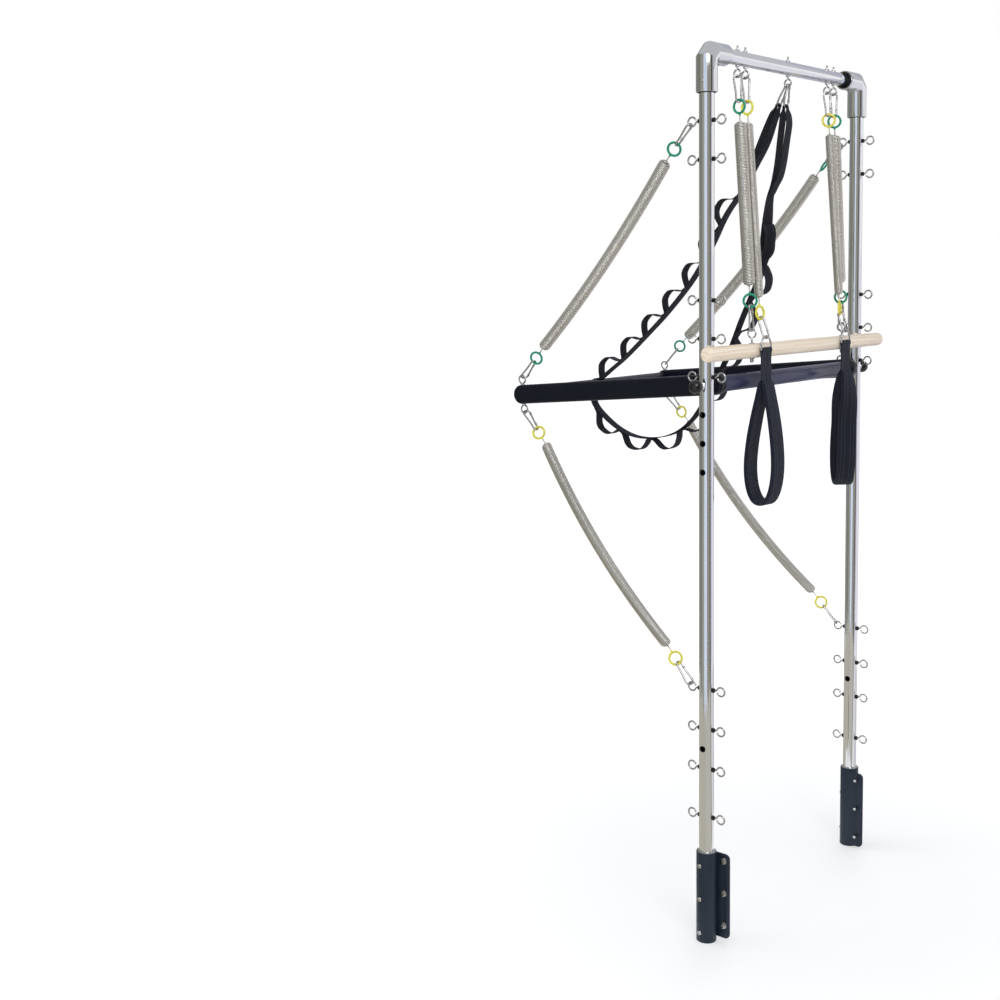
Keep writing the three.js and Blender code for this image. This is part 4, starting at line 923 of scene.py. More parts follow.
class TOWER_OT_uprights(bpy.types.Operator):
    """Models the two uprights with their pin holes"""

    bl_idname = "tower.uprights"
    bl_label = "Uprights"

    def execute(self, context):
        size = sizes()
        top = size.crossbar_z - TUBE_SETBACK
        heights = [size.pivot_z - PIN_HOLE_PITCH * i for i in range(PIN_HOLE_COUNT)] + [LOW_PIN_HOLE_Z]
        for side in SIDES:
            y = side * size.upright_y
            tube = rod((0, y, 0.0053), (0, y, top), size.upright_radius, 2 * size.round_steps)
            cut(tube, rod((0, y, 0), (0, y, top + 0.01), size.upright_radius - TUBE_WALL, 48))
            cut(tube, *[rod((0, y - 0.03, z), (0, y + 0.03, z), 0.0054, 32) for z in heights])
            round_edges(tube, 0.0005, 2, 50)
            settle(true_round(smooth(tube, 30), y, size.upright_radius), f"{HAND[side]}_chrome_upright", "tower",
                   "chrome", "polished_chrome", f"{HAND[side]}_upright")
            rims = [washer((0, y + out * (size.upright_radius - 0.0007), z), (0, out, 0), 0.0071, 0.0009, 0.0055)
                    for z in heights[1:] for out in SIDES]
            settle(join(*rims), f"{HAND[side]}_pin_hole_rims", "tower", "black_rubber", "gloss_black")
        return {"FINISHED"}


class TOWER_OT_crossbar(bpy.types.Operator):
    """Models the crossbar"""

    bl_idname = "tower.crossbar"
    bl_label = "Crossbar"

    def execute(self, context):
        size = sizes()
        end = size.upright_y - TUBE_SETBACK
        bar = rod((0, -end, size.crossbar_z), (0, end, size.crossbar_z), size.crossbar_radius)
        round_edges(bar, 0.0005, 2, 50)
        settle(smooth(bar, 30), "chrome_crossbar", "tower", "chrome", "polished_chrome", "crossbar")
        return {"FINISHED"}


class TOWER_OT_elbows(bpy.types.Operator):
    """Models the mitred elbows, their black liners and their set screws"""

    bl_idname = "tower.elbows"
    bl_label = "Elbows"

    def execute(self, context):
        size = sizes()
        for side in SIDES:
            self.elbow(side, size)
            self.liners(side, size)
            self.screws(side, size)
        return {"FINISHED"}

    def elbow(self, side, size):
        """A ring of the tube's section, carried up, round over two mitres and along."""
        y, z = side * size.upright_y, size.crossbar_z
        deselect()
        bpy.ops.mesh.primitive_circle_add(vertices=size.round_steps, radius=size.elbow_radius, fill_type="NGON",
                                          location=(0, y, z - size.elbow_drop))
        body = apply_place(bpy.context.object)
        aside = math.tan(math.radians(22.5))
        rings = (lambda x, out: (x, y + side * out, z - size.elbow_cut + aside * out),
                 lambda x, out: (x, y - side * (size.elbow_cut - aside * out), z + out),
                 lambda x, out: (x, self.mouths(side, size)[0], z + out))
        places = []
        for ring in rings:
            bpy.ops.object.mode_set(mode="EDIT")
            if not places:
                bpy.ops.mesh.select_all(action="SELECT")
            bpy.ops.mesh.extrude_region_move(TRANSFORM_OT_translate={"value": (0, 0, 0.001)})
            bpy.ops.object.mode_set(mode="OBJECT")
            moved = [vertex for vertex in body.data.vertices if vertex.select]
            places = places or [(vertex.co.x, side * (vertex.co.y - y)) for vertex in moved]
            for vertex, (x, out) in zip(moved, places):
                vertex.co = ring(x, out)
        outward(body)
        round_edges(body, 0.0012, 3, 20)
        mouth_y, mouth_z = self.mouths(side, size)
        cut(body, rod((0, y, mouth_z - 0.01), (0, y, mouth_z + 0.014), 0.0196),
            rod((0, mouth_y - side * 0.01, z), (0, mouth_y + side * 0.014, z), 0.0196))
        settle(smooth(body, 30), f"{HAND[side]}_cast_elbow", "tower", "alloy", "cast_alloy", f"{HAND[side]}_elbow")

    def mouths(self, side, size):
        """Where the crossbar's mouth and the upright's mouth lie, along Y and Z."""
        return side * (size.upright_y - size.elbow_reach), size.crossbar_z - size.elbow_drop

    def liners(self, side, size):
        y, z = side * size.upright_y, size.crossbar_z
        mouth_y, mouth_z = self.mouths(side, size)
        rings = []
        for spot, way, bore in ((Vector((0, y, mouth_z)), AXIS_Z, size.upright_radius),
                                (Vector((0, mouth_y, z)), Vector((0, side, 0)), size.crossbar_radius)):
            bore += 0.0002
            profile = [(bore, -0.0012), (0.0186, -0.0012), (0.0194, -0.0004), (0.0194, 0.0135), (bore, 0.0135),
                       (bore, -0.0012)]
            rings.append(lathe(profile, frame_of(spot, way, AXIS_X), 56))
        settle(smooth(join(*rings)), f"{HAND[side]}_elbow_liners", "tower", "black_rubber", "gloss_black")

    def screws(self, side, size):
        y, z = side * size.upright_y, size.crossbar_z
        out = size.elbow_radius - 0.0012
        heads = [socket_screw((0, y + side * out, z - 0.061), (0, side, 0), 0.0052, 0.0026),
                 socket_screw((0, side * (size.upright_y - 0.042), z - out), (0, 0, -1), 0.0052, 0.0026)]
        settle(join(*heads), f"{HAND[side]}_elbow_screws", "tower", "zinc", "zinc_plate")


PLATE_THICKNESS = 0.005
FLANGE_BOLT_X = 0.033
FLANGE_BOLT_HEIGHTS = (0.181, 0.108, 0.035)
SIDE_SCREW_HEIGHTS = (0.172, 0.097, 0.021)
END_SCREW_HEIGHTS = (0.129, 0.037)


class TOWER_OT_sockets(bpy.types.Operator):
    """Models the socket brackets, their screws and their bolts"""

    bl_idname = "tower.sockets"
    bl_label = "Sockets"

    def execute(self, context):
        size = sizes()
        for side in SIDES:
            y = side * size.upright_y
            inner = side * (size.upright_y - size.socket_radius)
            sleeve = rod((0, y, 0), (0, y, size.socket_height), size.socket_radius)
            cut(sleeve, rod((0, y, 0.005), (0, y, 0.3), size.upright_radius + FIT))
            round_edges(sleeve, 0.0012, 3, 50)
            plate = self.plate(size, min(inner, inner + side * PLATE_THICKNESS))
            cut(plate, *[rod((FLANGE_BOLT_X, inner - 0.02, z), (FLANGE_BOLT_X, inner + 0.02, z), 0.004, 24)
                         for z in FLANGE_BOLT_HEIGHTS])
            round_edges(plate, 0.0008, 2, 50)
            settle(smooth(join(sleeve, plate), 30), f"{HAND[side]}_socket_bracket", "tower", "slate", "slate_coat",
                   f"{HAND[side]}_socket")
            self.trim(side, size, y, inner)
        return {"FINISHED"}

    def plate(self, size, y):
        """The side flange: an outline with two round corners, given its thickness."""
        low, high, corner = 0.006, size.socket_height - 0.006, 0.011
        near, far = 0.0, size.flange_reach - corner
        outline = [(near, low)]
        for base, turns in ((low + corner, range(-90, 1, 10)), (high - corner, range(0, 91, 10))):
            outline += [(far + corner * math.cos(math.radians(turn)), base + corner * math.sin(math.radians(turn)))
                        for turn in turns]
        outline.append((near, high))
        mesh = bpy.data.meshes.new("plate")
        mesh.from_pydata([(x, y, z) for x, z in outline], [], [tuple(range(len(outline)))])
        plate = pick(new_piece("plate", mesh))
        bpy.ops.object.mode_set(mode="EDIT")
        bpy.ops.mesh.select_all(action="SELECT")
        bpy.ops.mesh.extrude_region_move(TRANSFORM_OT_translate={"value": (0, PLATE_THICKNESS, 0)})
        bpy.ops.object.mode_set(mode="OBJECT")
        return outward(plate)

    def trim(self, side, size, y, inner):
        bore = size.upright_radius + 0.0002
        ring = lathe([(bore, 0), (0.0205, 0), (0.0205, 0.0006), (0.0172, 0.0022), (bore, 0.0022), (bore, 0)],
                     frame_of(Vector((0, y, size.socket_height - 0.0004)), AXIS_Z, AXIS_X), 56)
        settle(smooth(ring), f"{HAND[side]}_socket_ring", "tower", "zinc", "zinc_plate")
        out = size.socket_radius - 0.0009
        heads = [socket_screw((-0.004, y + side * out, z), (0, side, 0), 0.0048, 0.0026)
                 for z in SIDE_SCREW_HEIGHTS]
        heads += [socket_screw((-out, y, z), (-1, 0, 0), 0.0052, 0.0034) for z in END_SCREW_HEIGHTS]
        settle(join(*heads), f"{HAND[side]}_socket_screws", "tower", "zinc", "zinc_plate")
        face = inner + side * 0.0062
        bolts = [hex_bolt((FLANGE_BOLT_X, face, z), (0, side, 0), 0.0066, 0.0046, 0.021, 0.0036)
                 for z in FLANGE_BOLT_HEIGHTS]
        settle(join(*bolts), f"{HAND[side]}_flange_bolts", "tower", "zinc", "zinc_plate")


class TOWER_OT_eyebolts(bpy.types.Operator):
    """Models the eyebolts of the uprights and the crossbar, with their nuts"""

    bl_idname = "tower.eyebolts"
    bl_label = "Eyebolts"

    def execute(self, context):
        size = sizes()
        model = self.double_eye(size)
        nuts = join(*[hex_nut((way * (size.upright_radius + 0.0001), 0, 0), (way, 0, 0), 0.0052, 0.0042)
                      for way in SIDES])
        for side in SIDES:
            for index, z in enumerate(EYE_HEIGHTS):
                place = Matrix.Translation((0, side * size.upright_y, z))
                node = CARRYING_EYES.get(index)
                nodes = [f"{HAND[side]}_upright_{node}_eyebolt"] if node else []
                settle(copy_of(model, place), f"{HAND[side]}_eyebolt_{index + 1}", "tower", "zinc", "zinc_plate",
                       *nodes)
                settle(copy_of(nuts, place), f"{HAND[side]}_eyebolt_nuts_{index + 1}", "tower", "black_rubber",
                       "gloss_black")
        for model_piece in (model, nuts):
            bpy.data.objects.remove(model_piece)
        self.crossbar(size)
        return {"FINISHED"}

    def double_eye(self, size):
        near = eye_points(Vector((-size.eye_offset, 0, 0)), AXIS_X, size.eye_radius)
        far = eye_points(Vector((size.eye_offset, 0, 0)), -AXIS_X, size.eye_radius)
        return wire(near[::-1] + far, EYE_WIRE)

    def crossbar(self, size):
        top = size.crossbar_z + size.crossbar_radius
        for name, y in CROSSBAR_EYES.items():
            centre = Vector((0, y, size.crossbar_eye_z))
            tip = Vector((0, y, top + 0.011))
            bolt = wire([tip] + eye_points(centre, AXIS_Z, size.crossbar_eye_radius), EYE_WIRE)
            nut = hex_nut((0, y, top + 0.0001), AXIS_Z, 0.0048, 0.0036)
            lock = hex_nut((0, y, size.crossbar_z - size.crossbar_radius - 0.0001), (0, 0, -1), 0.0048, 0.0032)
            settle(join(bolt, nut, lock), f"crossbar_{name}_eye", "tower", "zinc", "zinc_plate",
                   f"crossbar_{name}_eyebolt")


class TOWER_OT_push_bar(bpy.types.Operator):
    """Models the push-through bar: arms, tubes, bushes and eyebolts"""

    bl_idname = "tower.push_bar"
    bl_label = "Push-through bar"

    def execute(self, context):
        size = sizes()
        hang = bar_hang()
        for side in SIDES:
            self.arm(side, size, hang)
        inner = size.arm_y - size.arm_thickness / 2 - FIT
        # The pivot tube takes the lighter navy that paints its highlight.
        for name, x, finish in (("swing", -size.bar_length, "navy"), ("pivot", 0.0, "painted_highlight_navy")):
            tube = rod((x, -inner, 0), (x, inner, 0), size.cross_tube_radius)
            round_edges(tube, 0.0006, 2, 50)
            tube.matrix_world = hang
            settle(smooth(tube, 30), f"push_through_{name}_tube", "push_bar", finish, "navy_coat",
                   f"push_bar_{name}_tube")
        return {"FINISHED"}

    def arm(self, side, size, hang):
        hand = HAND[side]
        y = side * size.arm_y
        deselect()
        bpy.ops.mesh.primitive_circle_add(vertices=64, radius=size.arm_height / 2, fill_type="NGON",
                                          rotation=(math.pi / 2, 0, 0), location=(0, y - size.arm_thickness / 2, 0))
        body = apply_place(bpy.context.object)
        for vertex in body.data.vertices:
            if vertex.co.x < -1e-5:
                vertex.co.x -= size.bar_length
        bpy.ops.object.mode_set(mode="EDIT")
        bpy.ops.mesh.select_all(action="SELECT")
        bpy.ops.mesh.extrude_region_move(TRANSFORM_OT_translate={"value": (0, size.arm_thickness, 0)})
        bpy.ops.mesh.select_all(action="SELECT")
        bpy.ops.mesh.normals_make_consistent(inside=False)
        bpy.ops.object.mode_set(mode="OBJECT")
        round_edges(body, 0.006, 5, 50)
        body.matrix_world = hang
        settle(smooth(body, 40), f"push_through_{hand}_arm", "push_bar", "navy", "navy_coat",
               f"push_bar_{hand}_arm")
        outer = side * (size.arm_y + size.arm_thickness / 2)
        gap = size.upright_y - size.upright_radius - 0.0006 - abs(outer)
        bush = lathe([(0.0054, -0.002), (0.0122, -0.002), (0.0122, gap - 0.0006), (0.0116, gap), (0.0054, gap),
                      (0.0054, -0.002)],
                     frame_of(Vector((0, outer, 0)), Vector((0, side, 0)), AXIS_X), 48)
        bush.matrix_world = hang
        settle(smooth(bush), f"{hand}_pivot_bush", "push_bar", "black_rubber", "gloss_black")
        rise = size.arm_height / 2 + ARM_EYE_RISE
        low = eye_points(Vector((-size.bar_length, y, -rise)), AXIS_Z, size.eye_radius)
        high = eye_points(Vector((-size.bar_length, y, rise)), -AXIS_Z, size.eye_radius)
        bolt = wire(low[::-1] + high, EYE_WIRE)
        for way in SIDES:
            face = Vector((-size.bar_length, y, way * (size.arm_height / 2 - 0.0004)))
            bolt = join(bolt, washer(face, (0, 0, way), 0.0058, 0.0011, 0.0021),
                        hex_nut(face + AXIS_Z * way * 0.0011, AXIS_Z * way, 0.0046, 0.0032))
        bolt.matrix_world = hang
        settle(bolt, f"push_through_{hand}_eyebolt", "push_bar", "zinc", "zinc_plate", f"push_bar_{hand}_eyebolt")


class TOWER_OT_pull_pins(bpy.types.Operator):
    """Models the pull pins and their ball knobs"""

    bl_idname = "tower.pull_pins"
    bl_label = "Pull pins"

    def execute(self, context):
        size = sizes()
        radius = size.knob_radius
        for side in SIDES:
            hand = HAND[side]
            tip = size.arm_y + size.arm_thickness / 2 - 0.018
            collar = size.upright_y + size.upright_radius + FIT - tip
            stub = collar + 0.012 + 0.0137
            profile = [(0, 0), (0.0035, 0), (0.005, 0.0015), (0.005, collar), (0.0074, collar)]
            profile += [(out, collar + along) for out, along in (
                (0.008, 0.0006), (0.008, 0.0045), (0.0072, 0.0052), (0.0072, 0.0068), (0.008, 0.0075),
                (0.008, 0.0114), (0.0074, 0.012), (0.0035, 0.012))]
            profile += [(0.0035, stub), (0, stub)]
            way = Vector((0, side, 0))
            pin = lathe(profile, frame_of(Vector((0, side * tip, size.pivot_z)), way, AXIS_X))
            settle(smooth(pin, 25), f"{hand}_plunger", f"{hand}_pin", "chrome", "polished_chrome",
                   f"{hand}_pull_pin")
            rise = math.sqrt(radius ** 2 - 0.007 ** 2)
            turns = [math.acos(-rise / radius) * (1 - i / 28) for i in range(29)]
            ball = [(0, 0.0), (0.0069, 0.0)]
            ball += [(radius * math.sin(turn), rise + radius * math.cos(turn)) for turn in turns[1:]]
            knob = lathe(ball, frame_of(Vector((0, side * (tip + collar + 0.0123), size.pivot_z)), way, AXIS_X), 56)
            settle(smooth(knob, 40), f"{hand}_ball_knob", f"{hand}_pin", "black_gloss", "gloss_black",
                   f"{hand}_pin_knob")
        return {"FINISHED"}


# How far the post clip, arm clip, post ring and arm ring are turned about their springs, in degrees
PUSH_TURNS = {(LEFT, "upper"): (4, -20, -20, 20), (LEFT, "lower"): (-24, 16, 25, -25),
              (RIGHT, "upper"): (30, 22, 52, 16), (RIGHT, "lower"): (20, 54, 20, 0)}
# Which side of the arm, level, finish of the rings, radius, wire and sag of the spring, and height of its eye
PUSH_SPRINGS = (
    (1, "upper", "green_coat", 0.012, 0.0015, 0.012, EYE_HEIGHTS[0]),
    (-1, "lower", "yellow_coat", 0.011, 0.0014, 0.024, EYE_HEIGHTS[5]))


class TOWER_OT_push_springs(bpy.types.Operator):
    """Winds the four push-through springs and hangs their clips and rings"""

    bl_idname = "tower.push_springs"
    bl_label = "Push-through springs"

    def execute(self, context):
        size = sizes()
        hang = bar_hang()
        model = spring_clip()
        for side in SIDES:
            for up, level, tint, radius, thickness, sag, post_z in PUSH_SPRINGS:
                label = f"{HAND[side]}_{level}"
                post = Vector((-size.eye_offset, side * size.upright_y, post_z))
                rise = up * (size.arm_height / 2 + ARM_EYE_RISE)
                arm = hang @ Vector((-size.bar_length, side * size.arm_y, rise))
                near, far = Hook(post, arm, size.eye_radius), Hook(arm, post, size.eye_radius)
                turn = PUSH_TURNS[side, level]
                near.clip(model, f"{label}_post_clip", "tower", f"{label}_upright_clip", turn[0])
                far.clip(model, f"{label}_arm_clip", "push_bar", f"{label}_push_bar_clip", turn[1])
                near.loop(f"{label}_post_ring", "tower", tint, turn[2])
                far.loop(f"{label}_arm_ring", "push_bar", tint, turn[3])
                coil = wound_spring(near, far, radius, thickness, sag, size.coil_pitch)
                settle(coil, f"{label}_wound_spring", None, "spring", "spring_steel", f"{label}_push_spring")
                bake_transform(coil)
        bpy.data.objects.remove(model)
        return {"FINISHED"}


# How far the top clip, low clip, top ring and low ring are turned about their springs, in degrees
ROLL_DOWN_TURNS = {LEFT: (45, 0, 5, 24), RIGHT: (42, -25, -25, 11)}
WOOD_SHIFT = 0.0045
WOOD_EYE_Y = 0.204
WOOD_EYE_RISE = 0.037


class TOWER_OT_roll_down(bpy.types.Operator):
    """Models the roll-down bar with its springs, clips and eyebolts"""

    bl_idname = "tower.roll_down"
    bl_label = "Roll-down bar"

    def execute(self, context):
        size = sizes()
        x = size.upright_radius + FIT + size.wood_radius
        low, high = WOOD_SHIFT - size.wood_length / 2, WOOD_SHIFT + size.wood_length / 2
        bar = rod((x, low, size.wood_z), (x, high, size.wood_z), size.wood_radius)
        round_edges(bar, 0.005, 5, 50)
        settle(smooth(bar, 40), "beech_bar", "roll_down_bar", "beech", "beech", "roll_down_bar")
        model = spring_clip()
        for side, turn in ROLL_DOWN_TURNS.items():
            hand = HAND[side]
            eye = Vector((x, side * WOOD_EYE_Y, size.wood_z + WOOD_EYE_RISE))
            tip = Vector((x, side * WOOD_EYE_Y, size.wood_z - size.wood_radius - 0.006))
            bolt = wire([tip] + eye_points(eye, -AXIS_Z, size.eye_radius), EYE_WIRE)
            under = Vector((x, side * WOOD_EYE_Y, size.wood_z - size.wood_radius))
            nut = lathe([(0, 0.009), (0.0022, 0.0086), (0.0036, 0.0072), (0.0042, 0.0048), (0.0042, 0.0), (0, 0)],
                        frame_of(under + AXIS_Z * -0.001, Vector((0, 0, -1)), AXIS_X), 32)
            collar = washer(under + AXIS_Z * 0.0003, (0, 0, -1), 0.0068, 0.0013, 0.0021)
            crown = washer((x, side * WOOD_EYE_Y, size.wood_z + size.wood_radius - 0.0004), (0, 0, 1), 0.0062,
                           0.0013, 0.0021)
            settle(join(bolt, nut, collar, crown), f"{hand}_bar_eyebolt", "roll_down_bar", "zinc", "zinc_plate",
                   f"roll_down_{hand}_eyebolt")
            top = Vector((0, side * ROLL_DOWN_Y, size.crossbar_eye_z))
            near, far = Hook(top, eye, size.crossbar_eye_radius), Hook(eye, top, size.eye_radius)
            near.clip(model, f"{hand}_bar_top_clip", "roll_down_hanger", f"roll_down_{hand}_top_clip", turn[0])
            far.clip(model, f"{hand}_bar_low_clip", "roll_down_bar", f"roll_down_{hand}_low_clip", turn[1])
            near.loop(f"{hand}_bar_top_ring", "roll_down_hanger", "green_coat", turn[2])
            far.loop(f"{hand}_bar_low_ring", "roll_down_bar", "green_coat", turn[3])
            coil = wound_spring(near, far, 0.012, 0.0015, 0.0, size.coil_pitch)
            settle(coil, f"{hand}_bar_spring", None, "spring", "spring_steel", f"roll_down_{hand}_spring")
            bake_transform(coil)
        bpy.data.objects.remove(model)
        return {"FINISHED"}


DEE_X = 0.054
DEE_BAR_Z = 1.287
DEE_HEIGHT = 0.029
DEE_WIRE = 0.0023
HANDLE_LEAN = math.radians(20)
HANDLE_CLIP_REACH = 0.048
# The loop's turn, and how far the top clip, top ring and low ring are turned, in degrees
HANDLE_TURNS = {LEFT: (-6, (42, 6, -5)), RIGHT: (-48, (42, -20, 18))}
NECK_LENGTH = 0.069
WEB_THICKNESS = 0.0026
PAD_THICKNESS = 0.0092
LOOP_HEIGHT = 0.266
LOOP_HALF_WIDTH = 0.036
WRAP = DEE_WIRE + FIT + WEB_THICKNESS / 2  # Radius of the neck's turn round the dee ring
LOOP_OUTLINE_SHARES = [
    (0.14, 0.03), (0.34, 0.14), (0.62, 0.3), (0.87, 0.48), (1, 0.66), (0.95, 0.8), (0.75, 0.91), (0.42, 0.98), (0, 1)]


class TOWER_OT_handles(bpy.types.Operator):
    """Models the two handles: springs, clips, dee rings and padded loops"""

    bl_idname = "tower.handles"
    bl_label = "Handles"

    def execute(self, context):
        for side, (twist, turns) in HANDLE_TURNS.items():
            self.chain(side, turns)
            self.dee(side)
            self.loop(side, math.radians(twist))
        return {"FINISHED"}

    def chain(self, side, turns):
        size = sizes()
        hand = HAND[side]
        top = Vector((0, side * HANDLE_Y, size.crossbar_eye_z))
        way = Vector((math.sin(HANDLE_LEAN), 0, -math.cos(HANDLE_LEAN)))
        foot = Vector((DEE_X, side * HANDLE_Y, DEE_BAR_Z + DEE_HEIGHT)) + way * 0.00455
        nose = foot - way * HANDLE_CLIP_REACH
        along = (nose - top).normalized()
        ring = nose + along * (CLIP_FOOT - RING_RADIUS)
        near = Hook(top, ring, size.crossbar_eye_radius)
        far = Hook(ring - along * 0.1, top, size.eye_radius)
        far.place_ring(ring, -along)
        big = spring_clip()
        near.clip(big, f"{hand}_hand_top_clip", f"{hand}_handle_hanger", f"{hand}_handle_top_clip", turns[0])
        small = clip_model(HANDLE_CLIP_REACH, 0.0072, 0.0068)
        clip = copy_of(small, frame_of(nose, -way, AXIS_X))
        settle(clip, f"{hand}_hand_low_clip", f"{hand}_handle", "zinc", "zinc_plate", f"{hand}_handle_low_clip")
        near.loop(f"{hand}_hand_top_ring", f"{hand}_handle_hanger", "yellow_coat", turns[1])
        far.loop(f"{hand}_hand_low_ring", f"{hand}_handle", "yellow_coat", 90 + turns[2])
        coil = wound_spring(near, far, 0.009, 0.0013, 0.0, size.coil_pitch * 0.88)
        settle(coil, f"{hand}_hand_spring", None, "spring", "spring_steel", f"{hand}_handle_spring")
        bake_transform(coil)
        for model in (big, small):
            bpy.data.objects.remove(model)

    def dee(self, side):
        half = [(0, 0.02), (0.006, 0.0202), (0.0145, 0.019), (0.0225, 0.014), (0.0272, 0.0075)]
        points = [Vector((DEE_X, side * HANDLE_Y + y, DEE_BAR_Z + z)) for z, y in half]
        points.append(Vector((DEE_X, side * HANDLE_Y, DEE_BAR_Z + DEE_HEIGHT)))
        points += [Vector((DEE_X, side * HANDLE_Y - y, DEE_BAR_Z + z)) for z, y in reversed(half)]
        line = curve_through(points, False, 5)
        settle(wire(line, DEE_WIRE, True), f"{HAND[side]}_steel_dee", f"{HAND[side]}_handle", "zinc", "zinc_plate",
               f"{HAND[side]}_handle_dee_ring")

    def half_path(self, size):
        """Half the loop from the dee ring down: (aside, drop, width, thickness) at each place."""
        layer = 0.00165
        web, pad = (size.neck_width, WEB_THICKNESS), (size.pad_width, PAD_THICKNESS)
        neck = [(WRAP * 0.7, -WRAP * 0.7, *web), (WRAP, 0.0, *web), (layer * 1.4, WRAP * 2.0, *web),
                (layer, 0.02, *web), (layer, 0.045, *web), (layer, 0.064, *web)]
        loop = [(max(0.005, aside * LOOP_HALF_WIDTH) if aside else 0.0, NECK_LENGTH + drop * LOOP_HEIGHT, *pad)
                for aside, drop in LOOP_OUTLINE_SHARES]
        return neck + loop

    def loop(self, side, twist):
        half = self.half_path(sizes())
        mirrored = [(-aside, *rest) for aside, *rest in reversed(half[:-1])]
        path = [(0.0, -WRAP, *half[0][2:])] + half + mirrored
        fine = curve_through([Vector(place) for place in path], True, 7)
        flat = [Vector((v[0], 0, -v[1])) for v in fine]
        ways = ways_along(flat, True)
        stations = []
        for value, spot, way in zip(fine, flat, ways):
            share = ease(value[1], NECK_LENGTH, NECK_LENGTH + LOOP_HEIGHT)
            turn = Matrix.Rotation(twist * ease(value[1], NECK_LENGTH / 2, 0.2), 3, "Z")
            deep = turn @ Vector((-way.z, 0, way.x))
            broad = turn @ AXIS_Y
            place = turn @ spot + Vector((DEE_X - 0.005 * share, side * HANDLE_Y, DEE_BAR_Z))
            stations.append((place, broad, deep, value[2], value[3]))
        piece = band(stations, True, 4)
        settle(piece, f"{HAND[side]}_padded_loop", f"{HAND[side]}_handle", "padding", "padding",
               f"{HAND[side]}_handle_loop")


# The strap's line in the tower's middle plane, as shares of the arm's length and of the height to the eyes
FALLING_SHARES = [
    (-0.197, 0.662), (-0.294, 0.566), (-0.371, 0.455), (-0.47, 0.335), (-0.6, 0.22), (-0.72, 0.13), (-0.84, 0.045),
    (-0.925, -0.006)]
RISING_SHARES = [
    (-1.03, -0.108), (-1.012, -0.147), (-0.948, -0.193), (-0.877, -0.229), (-0.796, -0.252), (-0.71, -0.257),
    (-0.617, -0.245), (-0.54, -0.22), (-0.476, -0.18), (-0.428, -0.132), (-0.365, -0.056), (-0.313, 0.023),
    (-0.264, 0.104), (-0.22, 0.188), (-0.175, 0.266), (-0.137, 0.333), (-0.112, 0.408), (-0.101, 0.478),
    (-0.092, 0.549), (-0.082, 0.614)]
# The legs of its end loops, from the sewn ends to the clips
FIRST_LEGS = (
    [(-0.109, 1.6515), (-0.1015, 1.668), (-0.09, 1.697), (-0.077, 1.729), (-0.062, 1.762), (-0.0435, 1.799)],
    [(-0.0315, 1.797), (-0.046, 1.757), (-0.06, 1.729), (-0.076, 1.704), (-0.092, 1.678)])
SECOND_LEGS = (
    [(-0.0335, 1.655), (-0.025, 1.697), (-0.019, 1.745), (-0.013, 1.792)],
    [(0.0015, 1.805), (0.004, 1.783), (-0.001, 1.75), (-0.008, 1.705), (-0.017, 1.669), (-0.029, 1.648),
     (-0.0385, 1.63)])
RUNG_OUTLINE = [
    (0.0, 0.0), (0.06, 0.02), (0.15, 0.13), (0.24, 0.45), (0.33, 0.78), (0.43, 0.96), (0.53, 1.0), (0.64, 0.98),
    (0.75, 0.88), (0.84, 0.64), (0.92, 0.33), (0.97, 0.06), (1.0, 0.0)]


STRAP_CLIP_REACH = 0.05
# Each clip's place round the middle eye and its lean, in degrees
STRAP_CLIPS = (("strap_first_clip", 38, 26), ("strap_second_clip", -38, 9))
SWING_TUBE = Vector((-0.5361, 0, 1.172))
TURNED_FROM, TURNED_TO = 1.4, 1.655  # Heights between which the riser is turned
RISER_TURN = math.radians(42)
STRAP_THICKNESS = 0.0022
LADDER_PITCH, RISER_PITCH = 0.086, 0.093
RUNG_RISE = 0.0302


